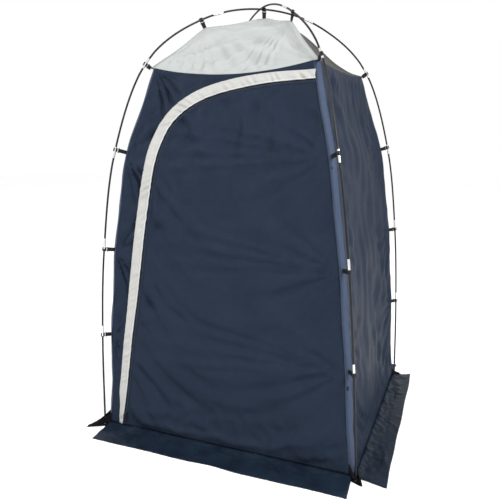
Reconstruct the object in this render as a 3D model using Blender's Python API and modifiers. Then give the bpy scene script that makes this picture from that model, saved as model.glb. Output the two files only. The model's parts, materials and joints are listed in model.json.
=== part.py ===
"""Pitched toilet tent: two crossing fibreglass poles, hook clips, a four-sided shell with a zipped door,
a pale and mesh roof, and loose ground skirts. Metres, +Z up, door at -Y, origin on the ground, in the middle.
"""

import math

import bmesh
import bpy
import numpy as np
from mathutils import Matrix, Vector

# Poles
POLE_RADIUS = 0.00425
FERRULE_SCALE = 1.22
FERRULE_LENGTH = 0.050
FIRST_SECTION = 0.495
JOINTS_PER_HALF = 5
POLE_STEP = 0.055
FERRULE_SHOULDER = 0.0005
CROSSING_RISE = 0.0135
TIP_CLEARANCE = 0.0006
END_CLEARANCE = 0.002

# Half the spread of the poles and of the fabric corners, and the height of each, from ground to apex
POLE_LEVELS = (
    (0.600, 0.000),
    (0.587, 0.446),
    (0.562, 0.860),
    (0.509, 1.292),
    (0.399, 1.680),
    (0.211, 1.880),
    (0.000, 1.942),
)
FABRIC_LEVELS = (
    (0.592, 0.012),
    (0.566, 0.449),
    (0.539, 0.854),
    (0.483, 1.289),
    (0.385, 1.658),
    (0.207, 1.843),
    (0.000, 1.902),
)
LEVEL_NAMES = ("foot", "lower", "mid", "upper", "shoulder", "hip", "apex")
# The roof's rear edges run from shoulder to apex with no clip at the hip, so they hang lower there
REAR_HIP = (0.207, 1.751)
WALL_ROWS = (0, 2, 3, 4)
ROOF_ROWS = (4, 5, 6)

CORNERS = {
    "front_left": (-1, -1),
    "front_right": (1, -1),
    "rear_right": (1, 1),
    "rear_left": (-1, 1),
}
# How far each foot stands off the square, fading out up the leg
FOOT_SHIFT = {
    "front_left": (0.015, 0.020),
    "front_right": (0.035, 0.045),
    "rear_right": (0.000, -0.050),
    "rear_left": (0.000, 0.000),
}
SETTLE_HEIGHT = 1.335

# Fabric
FABRIC = 0.0015
SEAM_INSET = 0.0012
ROOF_INSET = 0.0026
CORNER_BAND = 0.024
TOUCH_GAP = 0.0003
FRONT_STRIPS = 4

# Door outline in front elevation: the zip's straight side from its foot to the first point of the bend,
# then round the bend and along the top to the right seam
ZIP_FOOT = (-0.479, 0.016)
ZIP_BEND = (
    (-0.371, 0.774),
    (-0.344, 1.010),
    (-0.312, 1.222),
    (-0.284, 1.325),
    (-0.235, 1.420),
    (-0.147, 1.489),
    (-0.020, 1.534),
    (0.180, 1.567),
    (0.405, 1.579),
)
ZIP_STEP = 0.035
ZIP_HALF_WIDTH = 0.005
FLAP_INNER = 0.008
FLAP_OUTER = 0.054
FLAP_STANDOFF = 0.0045
CUTTER_REACH = 1.0
CUTTER_TOP = 1.8

# Zip slider and puller
SLIDER_SIZE = (0.012, 0.0034, 0.015)
SLIDER_START = 0.055
SLIDER_STANDOFF = 0.0020
BRIDGE_HALF_WIDTH = 0.0018
BRIDGE_BORE = 0.0012
BRIDGE_FOOT = 0.006
BRIDGE_HEAD = 0.0035
BRIDGE_SINK = 0.0008
BRIDGE_CROWN = 0.0026
PULLER_LENGTH = 0.030
PULLER_WIDTH = 0.009
PULLER_THICKNESS = 0.0012
PULLER_PLAY = 0.0006
PULLER_WINDOW = 0.0065

# Clips
CLIP_INNER = 0.0058
CLIP_OUTER = 0.0086
CLIP_WIDTH = 0.016
TAB_THICKNESS = 0.0034
CLIP_MOUTH = (200.0, 280.0)
TAB_GAP = 0.0022
SEARCH_STEP = 0.001

# Feet, skirts and tie-backs
FOOT_THICKNESS = 0.003
FOOT_REACH = {"front_left": 0.075, "front_right": 0.031, "rear_right": 0.031, "rear_left": 0.031}
FOOT_TIP_RADIUS = 0.012
FOOT_HEEL = 0.022
FOOT_HALF_WIDTH = 0.028
EYELET_RADIUS = 0.0062
SKIRT_HEIGHT = 0.0036
SKIRT_THICKNESS = 0.0015
SKIRT_ROOT_GAP = 0.0012
LOOP_LENGTH = 0.040
LOOP_HALF_WIDTH = 0.006
LOOP_CORD_RADIUS = 0.0013
LOOP_STANDOFF = 0.0035
LOOP_ROOT = 0.006
LOOP_HEIGHTS = {"tie_back_upper": 1.240, "tie_back_lower": 0.380}

COLOURS = {
    "navy": ((0.032, 0.045, 0.080), 0.55, 0.0),
    "pale": ((0.66, 0.69, 0.69), 0.60, 0.0),
    "flap": ((0.72, 0.71, 0.68), 0.60, 0.0),
    "mesh": ((0.10, 0.10, 0.11), 0.70, 0.0),
    "skirt": ((0.018, 0.026, 0.040), 0.25, 0.0),
    "black": ((0.012, 0.012, 0.013), 0.45, 0.0),
    "pole": ((0.020, 0.021, 0.022), 0.35, 0.0),
    "metal": ((0.30, 0.30, 0.31), 0.35, 0.9),
}


def clear_scene():
    for obj in list(bpy.data.objects):
        bpy.data.objects.remove(obj, do_unlink=True)


def new_collection(name, shown):
    collection = bpy.data.collections.new(name)
    collection.hide_render = not shown
    bpy.context.scene.collection.children.link(collection)
    return collection


def material(name):
    found = bpy.data.materials.get(name)
    if found:
        return found
    colour, roughness, metallic = COLOURS[name]
    made = bpy.data.materials.new(name)
    made.use_nodes = True
    shader = made.node_tree.nodes["Principled BSDF"]
    shader.inputs["Base Color"].default_value = (*colour, 1.0)
    shader.inputs["Roughness"].default_value = roughness
    shader.inputs["Metallic"].default_value = metallic
    return made


def add_part(name, data, colour, matrix=None):
    """A named sub-part in the tent's collection."""
    data.materials.append(material(colour))
    obj = bpy.data.objects.new(name, data)
    PARTS.objects.link(obj)
    if matrix is not None:
        obj.matrix_world = matrix
    return obj


def frame(origin, x_axis, y_axis, z_axis):
    """A placement matrix from an origin and three perpendicular directions."""
    turned = Matrix((x_axis, y_axis, z_axis)).transposed().to_4x4()
    turned.translation = origin
    return turned


# Lines that everything hangs from


def corner_point(corner, level):
    spread, height = level
    side, end = CORNERS[corner]
    slack = max(0.0, 1.0 - height / SETTLE_HEIGHT)
    shift = FOOT_SHIFT[corner]
    return Vector((side * spread + slack * shift[0], end * spread + slack * shift[1], height))


def band_points(corner, level):
    """The two edges of the narrow band round a wall corner: the front or rear edge, then the side edge."""
    side, end = CORNERS[corner]
    point = corner_point(corner, level)
    return point + Vector((-side * CORNER_BAND, 0.0, 0.0)), point + Vector((0.0, -end * CORNER_BAND, 0.0))


def smooth_path(points, step):
    """Points about a step apart on a Catmull-Rom curve through the given ones, in 2-D or 3-D."""
    knots = np.array([tuple(p) for p in points], float)
    knots = np.vstack([2 * knots[0] - knots[1], knots, 2 * knots[-1] - knots[-2]])
    path = []
    for before, start, end, after in zip(knots, knots[1:], knots[2:], knots[3:]):
        count = max(1, round(np.linalg.norm(end - start) / step))
        for t in np.arange(count) / count:
            bend = (2 * before - 5 * start + 4 * end - after) * t**2
            twist = (3 * start - before - 3 * end + after) * t**3
            path.append(start + ((end - before) * t + bend + twist) / 2)
    path.append(knots[-2])
    return np.array(path)


def distances(path):
    return np.concatenate([[0.0], np.cumsum(np.linalg.norm(np.diff(path, axis=0), axis=1))])


def point_at(path, where):
    along = distances(path)
    return np.array([np.interp(where, along, path[:, axis]) for axis in range(path.shape[1])])


def stretch(path, start, end):
    """The part of a path between two distances along it, without points too close to its ends."""
    along = distances(path)
    inside = path[(along > start + END_CLEARANCE) & (along < end - END_CLEARANCE)]
    return np.vstack([point_at(path, start), inside, point_at(path, end)])


def pole_path(first, last, rise):
    up = [corner_point(first, level) for level in POLE_LEVELS]
    down = [corner_point(last, level) for level in reversed(POLE_LEVELS[:-1])]
    up[0].z = TIP_CLEARANCE
    down[-1].z = TIP_CLEARANCE
    up[-1].z += rise
    return smooth_path(up + down, POLE_STEP)


# Poles


def tube(name, points, radii, colour):
    """A round tube along points, its radius given at each point."""
    curve = bpy.data.curves.new(name, "CURVE")
    curve.dimensions = "3D"
    curve.bevel_depth = POLE_RADIUS
    curve.bevel_resolution = 2
    curve.use_fill_caps = True
    spline = curve.splines.new("POLY")
    spline.points.add(len(points) - 1)
    spline.use_smooth = True
    for target, point, radius in zip(spline.points, points, radii):
        target.co = (*point, 1.0)
        target.radius = radius
    return add_part(name, curve, colour)


def pole_sections(name, path, start, end, ferrule_ends):
    """A run of pole sections with the steel ferrule that closes each one, as one piece."""
    stops = [(start, 1.0)]
    for ferrule_end in ferrule_ends:
        stops += [
            (ferrule_end - FERRULE_LENGTH - FERRULE_SHOULDER, 1.0),
            (ferrule_end - FERRULE_LENGTH, FERRULE_SCALE),
            (ferrule_end, FERRULE_SCALE),
        ]
        if ferrule_end < end:
            stops.append((ferrule_end + FERRULE_SHOULDER, 1.0))
    if stops[-1][0] < end:
        stops.append((end, 1.0))
    points = []
    radii = []
    for (near, near_scale), (far, far_scale) in zip(stops, stops[1:]):
        run = stretch(path, near, far)
        points += list(run[:-1])
        radii += list(np.linspace(near_scale, far_scale, len(run))[:-1])
    points.append(point_at(path, end))
    radii.append(stops[-1][1])
    tube(name, points, radii, "pole")


def build_pole(name, first, last, rise):
    path = pole_path(first, last, rise)
    half = distances(path)[-1] / 2
    section = (half - FIRST_SECTION) / (JOINTS_PER_HALF - 0.5)
    joints = [FIRST_SECTION + section * index for index in range(JOINTS_PER_HALF)]
    gap = TOUCH_GAP / 2
    for corner, run in ((first, path), (last, path[::-1])):
        pieces = (
            ("leg_lower", 0.0, joints[1] - gap, (joints[0], joints[1] - gap)),
            ("leg_upper", joints[1] + gap, joints[3] - gap, (joints[2], joints[3] - gap)),
            ("shoulder", joints[3] + gap, joints[4] - gap, (joints[4] - gap,)),
        )
        for label, start, end, ferrule_ends in pieces:
            pole_sections(f"{name}_{label}_{corner}", run, start, end, ferrule_ends)
    pole_sections(f"{name}_crown", path, joints[4] + gap, 2 * half - joints[4] - gap, ())
    return path


# Flat pieces drawn as outlines


def outline_curve(name, outlines, half_thickness):
    """A flat 2-D curve filled on both sides and extruded; a later outline inside the first is a hole."""
    curve = bpy.data.curves.new(name, "CURVE")
    curve.dimensions = "2D"
    curve.fill_mode = "BOTH"
    curve.extrude = half_thickness
    for outline in outlines:
        spline = curve.splines.new("POLY")
        spline.points.add(len(outline) - 1)
        for target, (x, y) in zip(spline.points, outline):
            target.co = (x, y, 0.0, 1.0)
        spline.use_cyclic_u = True
    return curve


def mesh_of(curve, matrix):
    """The closed mesh of a curve, moved by a matrix."""
    holder = bpy.data.objects.new("outline", curve)
    GUIDES.objects.link(holder)
    evaluated = holder.evaluated_get(bpy.context.evaluated_depsgraph_get())
    mesh = bpy.data.meshes.new_from_object(evaluated)
    bpy.data.objects.remove(holder, do_unlink=True)
    mesh.transform(matrix)
    shape = bmesh.new()
    shape.from_mesh(mesh)
    bmesh.ops.remove_doubles(shape, verts=shape.verts, dist=1e-6)
    bmesh.ops.recalc_face_normals(shape, faces=shape.faces)
    shape.to_mesh(mesh)
    shape.free()
    return mesh


def arc(centre, radius, start, end, count):
    """Points on an arc, its angles in degrees."""
    angles = np.radians(np.linspace(start, end, count))
    return [(centre[0] + radius * math.cos(a), centre[1] + radius * math.sin(a)) for a in angles]


def ring(centre, radius, count):
    return arc(centre, radius, 0.0, 360.0, count + 1)[:-1]


def boolean(obj, operation, cutter):
    modifier = obj.modifiers.new(operation.title(), "BOOLEAN")
    modifier.operation = operation
    modifier.solver = "EXACT"
    modifier.object = cutter


def add_cutter(name, mesh):
    """A hidden mesh for a Boolean to use."""
    cutter = bpy.data.objects.new(name, mesh)
    cutter.hide_render = True
    cutter.display_type = "WIRE"
    GUIDES.objects.link(cutter)
    return cutter


# Fabric shell


def fabric_sheet(name, rows, colour):
    """A sheet lofted through rows of points, thickened towards the inside of the tent.

    It is split into flat triangles first, so that its two skins stay parallel where it is cut.
    """
    mesh = bpy.data.meshes.new(name)
    shape = bmesh.new()
    grid = [[shape.verts.new(point) for point in row] for row in rows]
    for low, high in zip(grid, grid[1:]):
        for i in range(len(low) - 1):
            corners = (low[i], low[i + 1], high[i + 1], high[i])
            shape.faces.new([v for n, v in enumerate(corners) if v not in corners[:n]])
    bmesh.ops.remove_doubles(shape, verts=shape.verts, dist=1e-6)
    bmesh.ops.triangulate(shape, faces=shape.faces)
    shape.to_mesh(mesh)
    shape.free()
    obj = add_part(name, mesh, colour)
    thicken = obj.modifiers.new("Thickness", "SOLIDIFY")
    thicken.thickness = FABRIC
    thicken.offset = -1.0
    thicken.use_even_offset = True
    return obj


def shrink_ends(points, inset):
    """Draws the two ends of a row in along the row, so that neighbours across a seam stay apart."""
    start = (points[1] - points[0]).normalized() * inset
    end = (points[-2] - points[-1]).normalized() * inset
    return [points[0] + start, *points[1:-1], points[-1] + end]


def wall_rows(row_of_level):
    """Rows for a wall, the top one dropped a little clear of the roof seam."""
    rows = [shrink_ends(row_of_level(FABRIC_LEVELS[index]), SEAM_INSET) for index in WALL_ROWS]
    rows[-1] = [top + (low - top).normalized() * SEAM_INSET for low, top in zip(rows[-2], rows[-1])]
    return rows


def front_rows(standoff):
    """The front face from its left seam to its right seam, moved out by a standoff, in narrow strips."""

    def row(level):
        left = band_points("front_left", level)[0]
        right = band_points("front_right", level)[0]
        return [left + Vector((0.0, -standoff, 0.0)), right + Vector((0.0, -standoff, 0.0))]

    rows = []
    for low, high in zip(wall_rows(row), wall_rows(row)[1:]):
        for share in np.arange(FRONT_STRIPS) / FRONT_STRIPS:
            rows.append([start.lerp(end, share) for start, end in zip(low, high)])
    rows.append(wall_rows(row)[-1])
    shares = np.linspace(0.0, 1.0, FRONT_STRIPS + 1)
    return [[left.lerp(right, share) for share in shares] for left, right in rows]


def side_rows(first, last):
    """A side wall with the corner band at each end."""

    def row(level):
        return [*band_points(first, level), *reversed(band_points(last, level))]

    return wall_rows(row)


def back_rows():
    def row(level):
        return [band_points("rear_right", level)[0], band_points("rear_left", level)[0]]

    return wall_rows(row)


def zip_path():
    """The zip line in front elevation: straight up the left side, then round to the right seam."""
    foot, bend_start = np.array(ZIP_FOOT), np.array(ZIP_BEND[0])
    lead_in = (foot + 3 * bend_start) / 4
    curve = smooth_path([lead_in, *ZIP_BEND], ZIP_STEP)
    return np.vstack([foot, curve[curve[:, 1] >= bend_start[1]]])


def beside(path, offset):
    """The path moved sideways in its plane; a positive offset is outside the door."""
    along = np.gradient(path, axis=0)
    along /= np.linalg.norm(along, axis=1)[:, None]
    return path + offset * np.column_stack([-along[:, 1], along[:, 0]])


def strip_outline(path, near, far):
    return [*beside(path, near), *beside(path, far)[::-1]]


def cut_front(name, outline, standoff, colour):
    """A piece of the front face, cut to an outline drawn in front elevation."""
    piece = fabric_sheet(name, front_rows(standoff), colour)
    curve = outline_curve(name + "_outline", [outline], CUTTER_REACH)
    upright = Matrix.Rotation(math.radians(90.0), 4, "X")
    boolean(piece, "INTERSECT", add_cutter(name + "_cutter", mesh_of(curve, upright)))
    return piece


def build_front():
    path = zip_path()
    edge = ZIP_HALF_WIDTH + TOUCH_GAP
    opening = list(beside(path, -edge))
    door_outline = [*opening, (CUTTER_REACH, opening[-1][1]), (CUTTER_REACH, 0.0), (opening[0][0], 0.0)]
    cut_front("door", door_outline, 0.0, "navy")
    margin = list(beside(path, edge))
    wall_outline = [
        (margin[0][0], 0.0),
        *margin,
        (CUTTER_REACH, margin[-1][1]),
        (CUTTER_REACH, CUTTER_TOP),
        (-CUTTER_REACH, CUTTER_TOP),
        (-CUTTER_REACH, 0.0),
    ]
    cut_front("front_wall", wall_outline, 0.0, "navy")
    cut_front("zip_wall_half", strip_outline(path, TOUCH_GAP / 2, ZIP_HALF_WIDTH), 0.0, "black")
    cut_front("zip_door_half", strip_outline(path, -ZIP_HALF_WIDTH, -TOUCH_GAP / 2), 0.0, "black")
    cut_front("storm_flap", strip_outline(path, FLAP_INNER, FLAP_OUTER), FLAP_STANDOFF, "flap")


def slack_hip(corner, index):
    """Whether this is one of the rear hips, which no clip holds."""
    return LEVEL_NAMES[index] == "hip" and CORNERS[corner][1] > 0


def roof_corner(corner, index):
    return corner_point(corner, REAR_HIP if slack_hip(corner, index) else FABRIC_LEVELS[index])


def roof_rows(first, last):
    """Rows for one side of the roof, from its wall seam to the apex."""
    rows = []
    for index in ROOF_ROWS[:-1]:
        ends = [roof_corner(corner, index) for corner in (first, last)]
        rows.append(shrink_ends(ends, ROOF_INSET))
    middle = (rows[-1][0] + rows[-1][1]) / 2
    apex = corner_point(first, FABRIC_LEVELS[6])
    tip = apex + (middle - apex).normalized() * 2 * ROOF_INSET
    rows[0] = [low + (high - low).normalized() * SEAM_INSET for low, high in zip(rows[0], rows[1])]
    return [*rows, [tip, tip]]


def build_fabric():
    build_front()
    fabric_sheet("right_wall", side_rows("front_right", "rear_right"), "navy")
    fabric_sheet("back_wall", back_rows(), "navy")
    fabric_sheet("left_wall", side_rows("rear_left", "front_left"), "navy")
    sides = (
        ("roof_front", "front_left", "front_right", "pale"),
        ("roof_right", "front_right", "rear_right", "mesh"),
        ("roof_back", "rear_right", "rear_left", "pale"),
        ("roof_left", "rear_left", "front_left", "mesh"),
    )
    for name, first, last, colour in sides:
        fabric_sheet(name, roof_rows(first, last), colour)


# Clips


def clip_outline(reach):
    """A C-shaped hook round the pole and the tab that runs from it to the fabric."""
    half = TAB_THICKNESS / 2
    side = math.degrees(math.asin(half / CLIP_OUTER))
    opens, closes = CLIP_MOUTH
    return [
        (reach, -half),
        (reach, half),
        *arc((0.0, 0.0), CLIP_OUTER, side, opens, 11),
        *arc((0.0, 0.0), CLIP_INNER, opens, closes - 360.0, 12),
        *arc((0.0, 0.0), CLIP_OUTER, closes - 360.0, -side, 5),
    ]


def build_clip(name, pole_point, tangent, anchor):
    tangent = Vector(tangent).normalized()
    towards = Vector(anchor) - Vector(pole_point)
    towards -= towards.dot(tangent) * tangent
    reach = towards.length - TAB_GAP
    towards.normalize()
    matrix = frame(pole_point, towards, tangent.cross(towards), tangent)
    curve = outline_curve(name, [clip_outline(reach)], CLIP_WIDTH / 2)
    add_part(name, curve, "black", matrix)


def nearest_on(path, target):
    """The place on a path nearest to a point, and the path's direction there."""
    length = distances(path)[-1]
    places = np.arange(0.0, length, SEARCH_STEP)
    gaps = [np.linalg.norm(point_at(path, place) - np.array(target)) for place in places]
    place = places[int(np.argmin(gaps))]
    ahead = point_at(path, min(place + CLIP_WIDTH, length))
    behind = point_at(path, max(place - CLIP_WIDTH, 0.0))
    return point_at(path, place), ahead - behind


def build_clips(paths):
    for corner, path in paths.items():
        for index in range(1, 6):
            if slack_hip(corner, index):
                continue
            level = FABRIC_LEVELS[index]
            if index < 4:
                front_edge, side_edge = band_points(corner, level)
                anchor = (front_edge + side_edge) / 2
            else:
                anchor = corner_point(corner, level)
            point, tangent = nearest_on(path, anchor)
            build_clip(f"clip_{LEVEL_NAMES[index]}_{corner}", point, tangent, anchor)
    apex = corner_point("front_left", FABRIC_LEVELS[6])
    point, tangent = nearest_on(paths["front_left"], apex)
    build_clip("clip_apex", point, tangent, apex)


# Feet and skirts


def build_feet():
    """Webbing tabs on the ground, each with the eyelet that takes a pole tip."""
    for corner, (side, end) in CORNERS.items():
        foot = corner_point(corner, POLE_LEVELS[0])
        outward = Vector((side, end, 0.0)).normalized()
        across = Vector((0.0, 0.0, 1.0)).cross(outward)
        tip = arc((FOOT_REACH[corner], 0.0), FOOT_TIP_RADIUS, -60.0, 60.0, 5)
        outline = [*tip, (-FOOT_HEEL, FOOT_HALF_WIDTH), (-FOOT_HEEL, -FOOT_HALF_WIDTH)]
        eyelet = ring((0.0, 0.0), EYELET_RADIUS, 16)
        curve = outline_curve(f"foot_{corner}", [outline, eyelet], FOOT_THICKNESS / 2)
        origin = Vector((foot.x, foot.y, FOOT_THICKNESS / 2))
        add_part(f"foot_{corner}", curve, "black", frame(origin, outward, across, Vector((0.0, 0.0, 1.0))))


# Each skirt: the corners that it runs between, how far its ends stop short of them, and its outer corners
SKIRTS = {
    "front": ("front_left", "front_right", (0.010, 0.032), (0.020, 0.146), (0.013, 0.141)),
    "right": ("front_right", "rear_right", (0.012, 0.010), (-0.018, 0.129), (-0.058, 0.098)),
    "back": ("rear_right", "rear_left", (0.012, 0.012), (0.010, 0.1663), (0.010, 0.125)),
    "left": ("rear_left", "front_left", (0.012, 0.012), (0.010, 0.1643), (0.250, 0.150)),
}


def skirt_frame(first, last):
    """A frame at the first corner of a wall's foot: X along the wall, Y outwards along the ground."""
    start = corner_point(first, FABRIC_LEVELS[0])
    along = corner_point(last, FABRIC_LEVELS[0]) - start
    length = along.length
    along.normalize()
    outward = along.cross(Vector((0.0, 0.0, 1.0)))
    origin = start + outward * SKIRT_ROOT_GAP
    origin.z = SKIRT_HEIGHT
    return frame(origin, along, -outward, Vector((0.0, 0.0, 1.0))), length


def build_skirts():
    for side, (first, last, shorten, near_corner, far_corner) in SKIRTS.items():
        matrix, length = skirt_frame(first, last)
        outline = [
            (shorten[0], 0.0),
            (near_corner[0], -near_corner[1]),
            (length - far_corner[0], -far_corner[1]),
            (length - shorten[1], 0.0),
        ]
        curve = outline_curve(f"skirt_{side}", [outline], SKIRT_THICKNESS / 2)
        raised = matrix @ Matrix.Translation((0.0, 0.0, SKIRT_THICKNESS / 2))
        add_part(f"skirt_{side}", curve, "skirt", raised)


# Zip slider, puller and tie-backs


def front_point(x, height, standoff):
    """The point of the front face at a place in front elevation, below the mid clips."""
    low, high = FABRIC_LEVELS[0], FABRIC_LEVELS[2]
    share = (height - low[1]) / (high[1] - low[1])
    left = corner_point("front_left", low).lerp(corner_point("front_left", high), share)
    right = corner_point("front_right", low).lerp(corner_point("front_right", high), share)
    across = (x - left.x) / (right.x - left.x)
    return Vector((x, left.y + (right.y - left.y) * across - standoff, height))


def zip_frame():
    """The slider's place on the zip's straight side: Y out of the face, Z up the zip."""
    foot, head = ZIP_FOOT, ZIP_BEND[0]
    share = SLIDER_START / (head[1] - foot[1])
    start = front_point(foot[0] + (head[0] - foot[0]) * share, foot[1] + SLIDER_START, 0.0)
    end = front_point(head[0], head[1], 0.0)
    up = (end - start).normalized()
    across = Vector((1.0, 0.0, 0.0))
    across = (across - across.dot(up) * up).normalized()
    return frame(start, across, up.cross(across), up)


def build_slider():
    """The slider body with a bored bridge, and the puller whose top bar hangs in the bore."""
    matrix = zip_frame()
    width, depth, length = SLIDER_SIZE
    back = -SLIDER_STANDOFF
    body = bmesh.new()
    bmesh.ops.create_cube(body, size=1.0)
    bmesh.ops.scale(body, vec=(width, depth, length), verts=body.verts)
    bmesh.ops.translate(body, vec=(0.0, back - depth / 2, 0.0), verts=body.verts)
    mesh = bpy.data.meshes.new("zip_slider")
    body.to_mesh(mesh)
    body.free()
    slider = add_part("zip_slider", mesh, "metal", matrix)
    face = back - depth
    pin = face - 2.0 * BRIDGE_BORE
    bridge = [
        (-BRIDGE_FOOT, face + BRIDGE_SINK),
        (BRIDGE_FOOT, face + BRIDGE_SINK),
        (BRIDGE_HEAD, pin - BRIDGE_CROWN),
        (-BRIDGE_HEAD, pin - BRIDGE_CROWN),
    ]
    curve = outline_curve("bridge", [bridge, ring((0.0, pin), BRIDGE_BORE, 12)], BRIDGE_HALF_WIDTH)
    stand = Matrix.Rotation(math.radians(90.0), 4, "Y")
    bridge_mesh = add_cutter("bridge", mesh_of(curve, matrix @ stand))
    boolean(slider, "UNION", bridge_mesh)

    half = PULLER_WIDTH / 2
    window = BRIDGE_HALF_WIDTH + PULLER_PLAY
    bar = PULLER_THICKNESS / 2
    outline = [(half, bar), (-half, bar), (-half, -PULLER_LENGTH), (half, -PULLER_LENGTH)]
    hole = [(window, -bar), (window, -PULLER_WINDOW), (-window, -PULLER_WINDOW), (-window, -bar)]
    plate = outline_curve("zip_puller", [outline, hole], bar)
    hang = matrix @ Matrix.Translation((0.0, pin, 0.0)) @ Matrix.Rotation(math.radians(90.0), 4, "X")
    add_part("zip_puller", plate, "black", hang)


def build_tie_backs():
    """Elastic loops sewn on the front right corner band, lying across it."""
    spreads, heights = zip(*FABRIC_LEVELS)
    for name, height in LOOP_HEIGHTS.items():
        spread = float(np.interp(height, heights, spreads))
        root, far = band_points("front_right", (spread, height))
        across = (far - root).normalized()
        outward = across.cross(Vector((0.0, 0.0, 1.0)))
        origin = root + outward * LOOP_STANDOFF + across * LOOP_ROOT
        straight = LOOP_LENGTH - 2 * LOOP_HALF_WIDTH
        path = [
            *arc((LOOP_HALF_WIDTH + LOOP_CORD_RADIUS, 0.0), LOOP_HALF_WIDTH, 90.0, 270.0, 7),
            *arc((LOOP_HALF_WIDTH + straight, 0.0), LOOP_HALF_WIDTH, -90.0, 90.0, 7),
        ]
        curve = bpy.data.curves.new(name, "CURVE")
        curve.dimensions = "3D"
        curve.bevel_depth = LOOP_CORD_RADIUS
        curve.bevel_resolution = 2
        spline = curve.splines.new("POLY")
        spline.points.add(len(path) - 1)
        for target, (x, z) in zip(spline.points, path):
            target.co = (x, 0.0, z, 1.0)
        spline.use_cyclic_u = True
        add_part(name, curve, "black", frame(origin, across, -outward, Vector((0.0, 0.0, 1.0))))


def smooth_round_pieces():
    for obj in PARTS.objects:
        if obj.type == "MESH":
            obj.data.shade_smooth()
            obj.data.set_sharp_from_angle(angle=math.radians(30.0))


def main():
    path_a = build_pole("pole_a", "front_left", "rear_right", 0.0)
    path_b = build_pole("pole_b", "front_right", "rear_left", CROSSING_RISE)
    paths = {
        "front_left": path_a,
        "rear_right": path_a,
        "front_right": path_b,
        "rear_left": path_b,
    }
    build_clips(paths)
    build_feet()
    build_fabric()
    build_skirts()
    build_slider()
    build_tie_backs()
    smooth_round_pieces()


clear_scene()
PARTS = new_collection("toilet_tent", True)
GUIDES = new_collection("cutters", False)
main()
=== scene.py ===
"""The looks of the pitched toilet tent: sagging panels, storm flap, zip, skirts, poles, clips and feet.

Metres, +Z up, door at -Y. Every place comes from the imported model: seams from the wall nodes, the zip
line from where its two halves meet, pole lines from the pole nodes, clips and feet from their own nodes.
"""

import json
import math

import bpy
import numpy as np
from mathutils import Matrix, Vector


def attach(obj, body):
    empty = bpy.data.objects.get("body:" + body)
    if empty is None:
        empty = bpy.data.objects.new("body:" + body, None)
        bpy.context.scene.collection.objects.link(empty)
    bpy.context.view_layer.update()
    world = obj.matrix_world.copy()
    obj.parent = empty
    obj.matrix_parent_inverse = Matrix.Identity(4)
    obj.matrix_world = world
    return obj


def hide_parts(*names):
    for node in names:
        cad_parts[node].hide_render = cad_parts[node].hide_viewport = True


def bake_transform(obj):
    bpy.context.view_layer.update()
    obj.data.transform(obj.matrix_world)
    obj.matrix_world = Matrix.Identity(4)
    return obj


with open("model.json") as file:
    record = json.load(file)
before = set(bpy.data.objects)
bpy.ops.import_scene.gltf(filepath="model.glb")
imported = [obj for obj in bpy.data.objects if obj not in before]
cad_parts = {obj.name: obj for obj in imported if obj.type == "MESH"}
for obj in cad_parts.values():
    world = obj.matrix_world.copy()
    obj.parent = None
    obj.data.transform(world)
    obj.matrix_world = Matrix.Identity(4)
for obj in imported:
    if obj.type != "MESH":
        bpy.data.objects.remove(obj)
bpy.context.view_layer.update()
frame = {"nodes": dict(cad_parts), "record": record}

# Camera
CAMERA_PLACE = (1.064, -2.618, 1.375)
CAMERA_YAW = 23.49
CAMERA_DOWN = 11.58
CAMERA_LENS = 40.93

# Panels
CELL = 0.012
CLOTH = 0.0009
SCALLOP = 0.006
# The least height between two levels of points of a CAD wall, and of the CAD roof
LEVEL_GAP = 0.05
ROOF_LEVEL_GAP = 0.02
# How far from its edge a wall's folds have grown to their full height
EDGE_FADE = 0.05
# Level and upright lines where the cloth was folded in its bag
PACKED_LEVELS = np.arange(-0.6, 1.9, 0.21)
PACKED_UPRIGHTS = np.arange(-0.6, 0.7, 0.26)
PACKED_WIDTH = 0.006
SEAM_SAG = {"front": 0.040, "right": 0.014, "back": 0.030, "left": 0.014}
WALL_BOW = 0.012
HIP_SCALLOP = 0.005
# How far a rear roof edge is above its chord curve, at shares of the way from shoulder to top
REAR_EDGE_RISES = (0.0, 0.13, 0.30, 0.46, 0.53, 0.65, 0.80, 1.0)
REAR_EDGE_LIFTS = (0.0, -0.012, 0.0, 0.028, 0.037, 0.046, 0.030, 0.0)
ROOF_DENT = 0.010
NET_DENT = 0.006
ROOF_SEAM_INSET = 0.006
BAND_BULGE = 0.0018
BAND_WIDTH = 0.034
CAP_HALF = 0.022

# Front: lengths up the side and along the top of the strip beside the zip, and the right seam's lean
FRONT_RUNS = (1.5, 0.75)
FRONT_COLUMNS = 16
SEAM_LEAN = -0.27
SEAM_CLEARANCE = 0.0006
# Fans at the front clips: heading and spread in degrees, folds, reach, height
FRONT_FANS = {
    "front_left": (
        (-60.0, 26.0, 3.0, 0.14, 0.0130), (44.0, 24.0, 2.0, 0.12, 0.0105), (-4.0, 22.0, 3.0, 0.07, 0.0026),
    ),
    "front_right": ((180.0, 50.0, 5.0, 0.14, 0.0065), (177.0, 13.0, 4.0, 0.42, 0.0060)),
}
# Fans at the roof clips: heading at right, heading at left, then as above
ROOF_FANS = {
    "hip": ((228.0, 268.0, 40.0, 6.0, 0.34, 0.0080), (185.0, -32.0, 24.0, 3.0, 0.20, 0.0060)),
    "shoulder": ((155.0, 32.0, 30.0, 4.0, 0.26, 0.0065),),
}

# Zip and storm flap
ZIP_HALF = 0.005
ZIP_GAP = 0.0002
ZIP_STEP = 0.006
# How close the two halves' points lie where they meet, and a point (x, z) that the zip line goes round
ZIP_MEETING = 0.0006
ZIP_TURN_CENTRE = (0.4, 0.3)
TOOTH_PITCH = 0.0025
TOOTH = (0.0021, 0.0013, 0.0014)
FLAP_NEAR = 0.0080
FLAP_LIFT = 0.0052
FLAP_HEM = 0.007
FLAP_PUCKER = 0.0040
FLAP_PUCKER_PITCH = 0.031
# Column of the flap and lift off it of each row of stitches
FLAP_STITCH_ROWS = ((1, 0.0), (-3, 0.0008))
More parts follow.
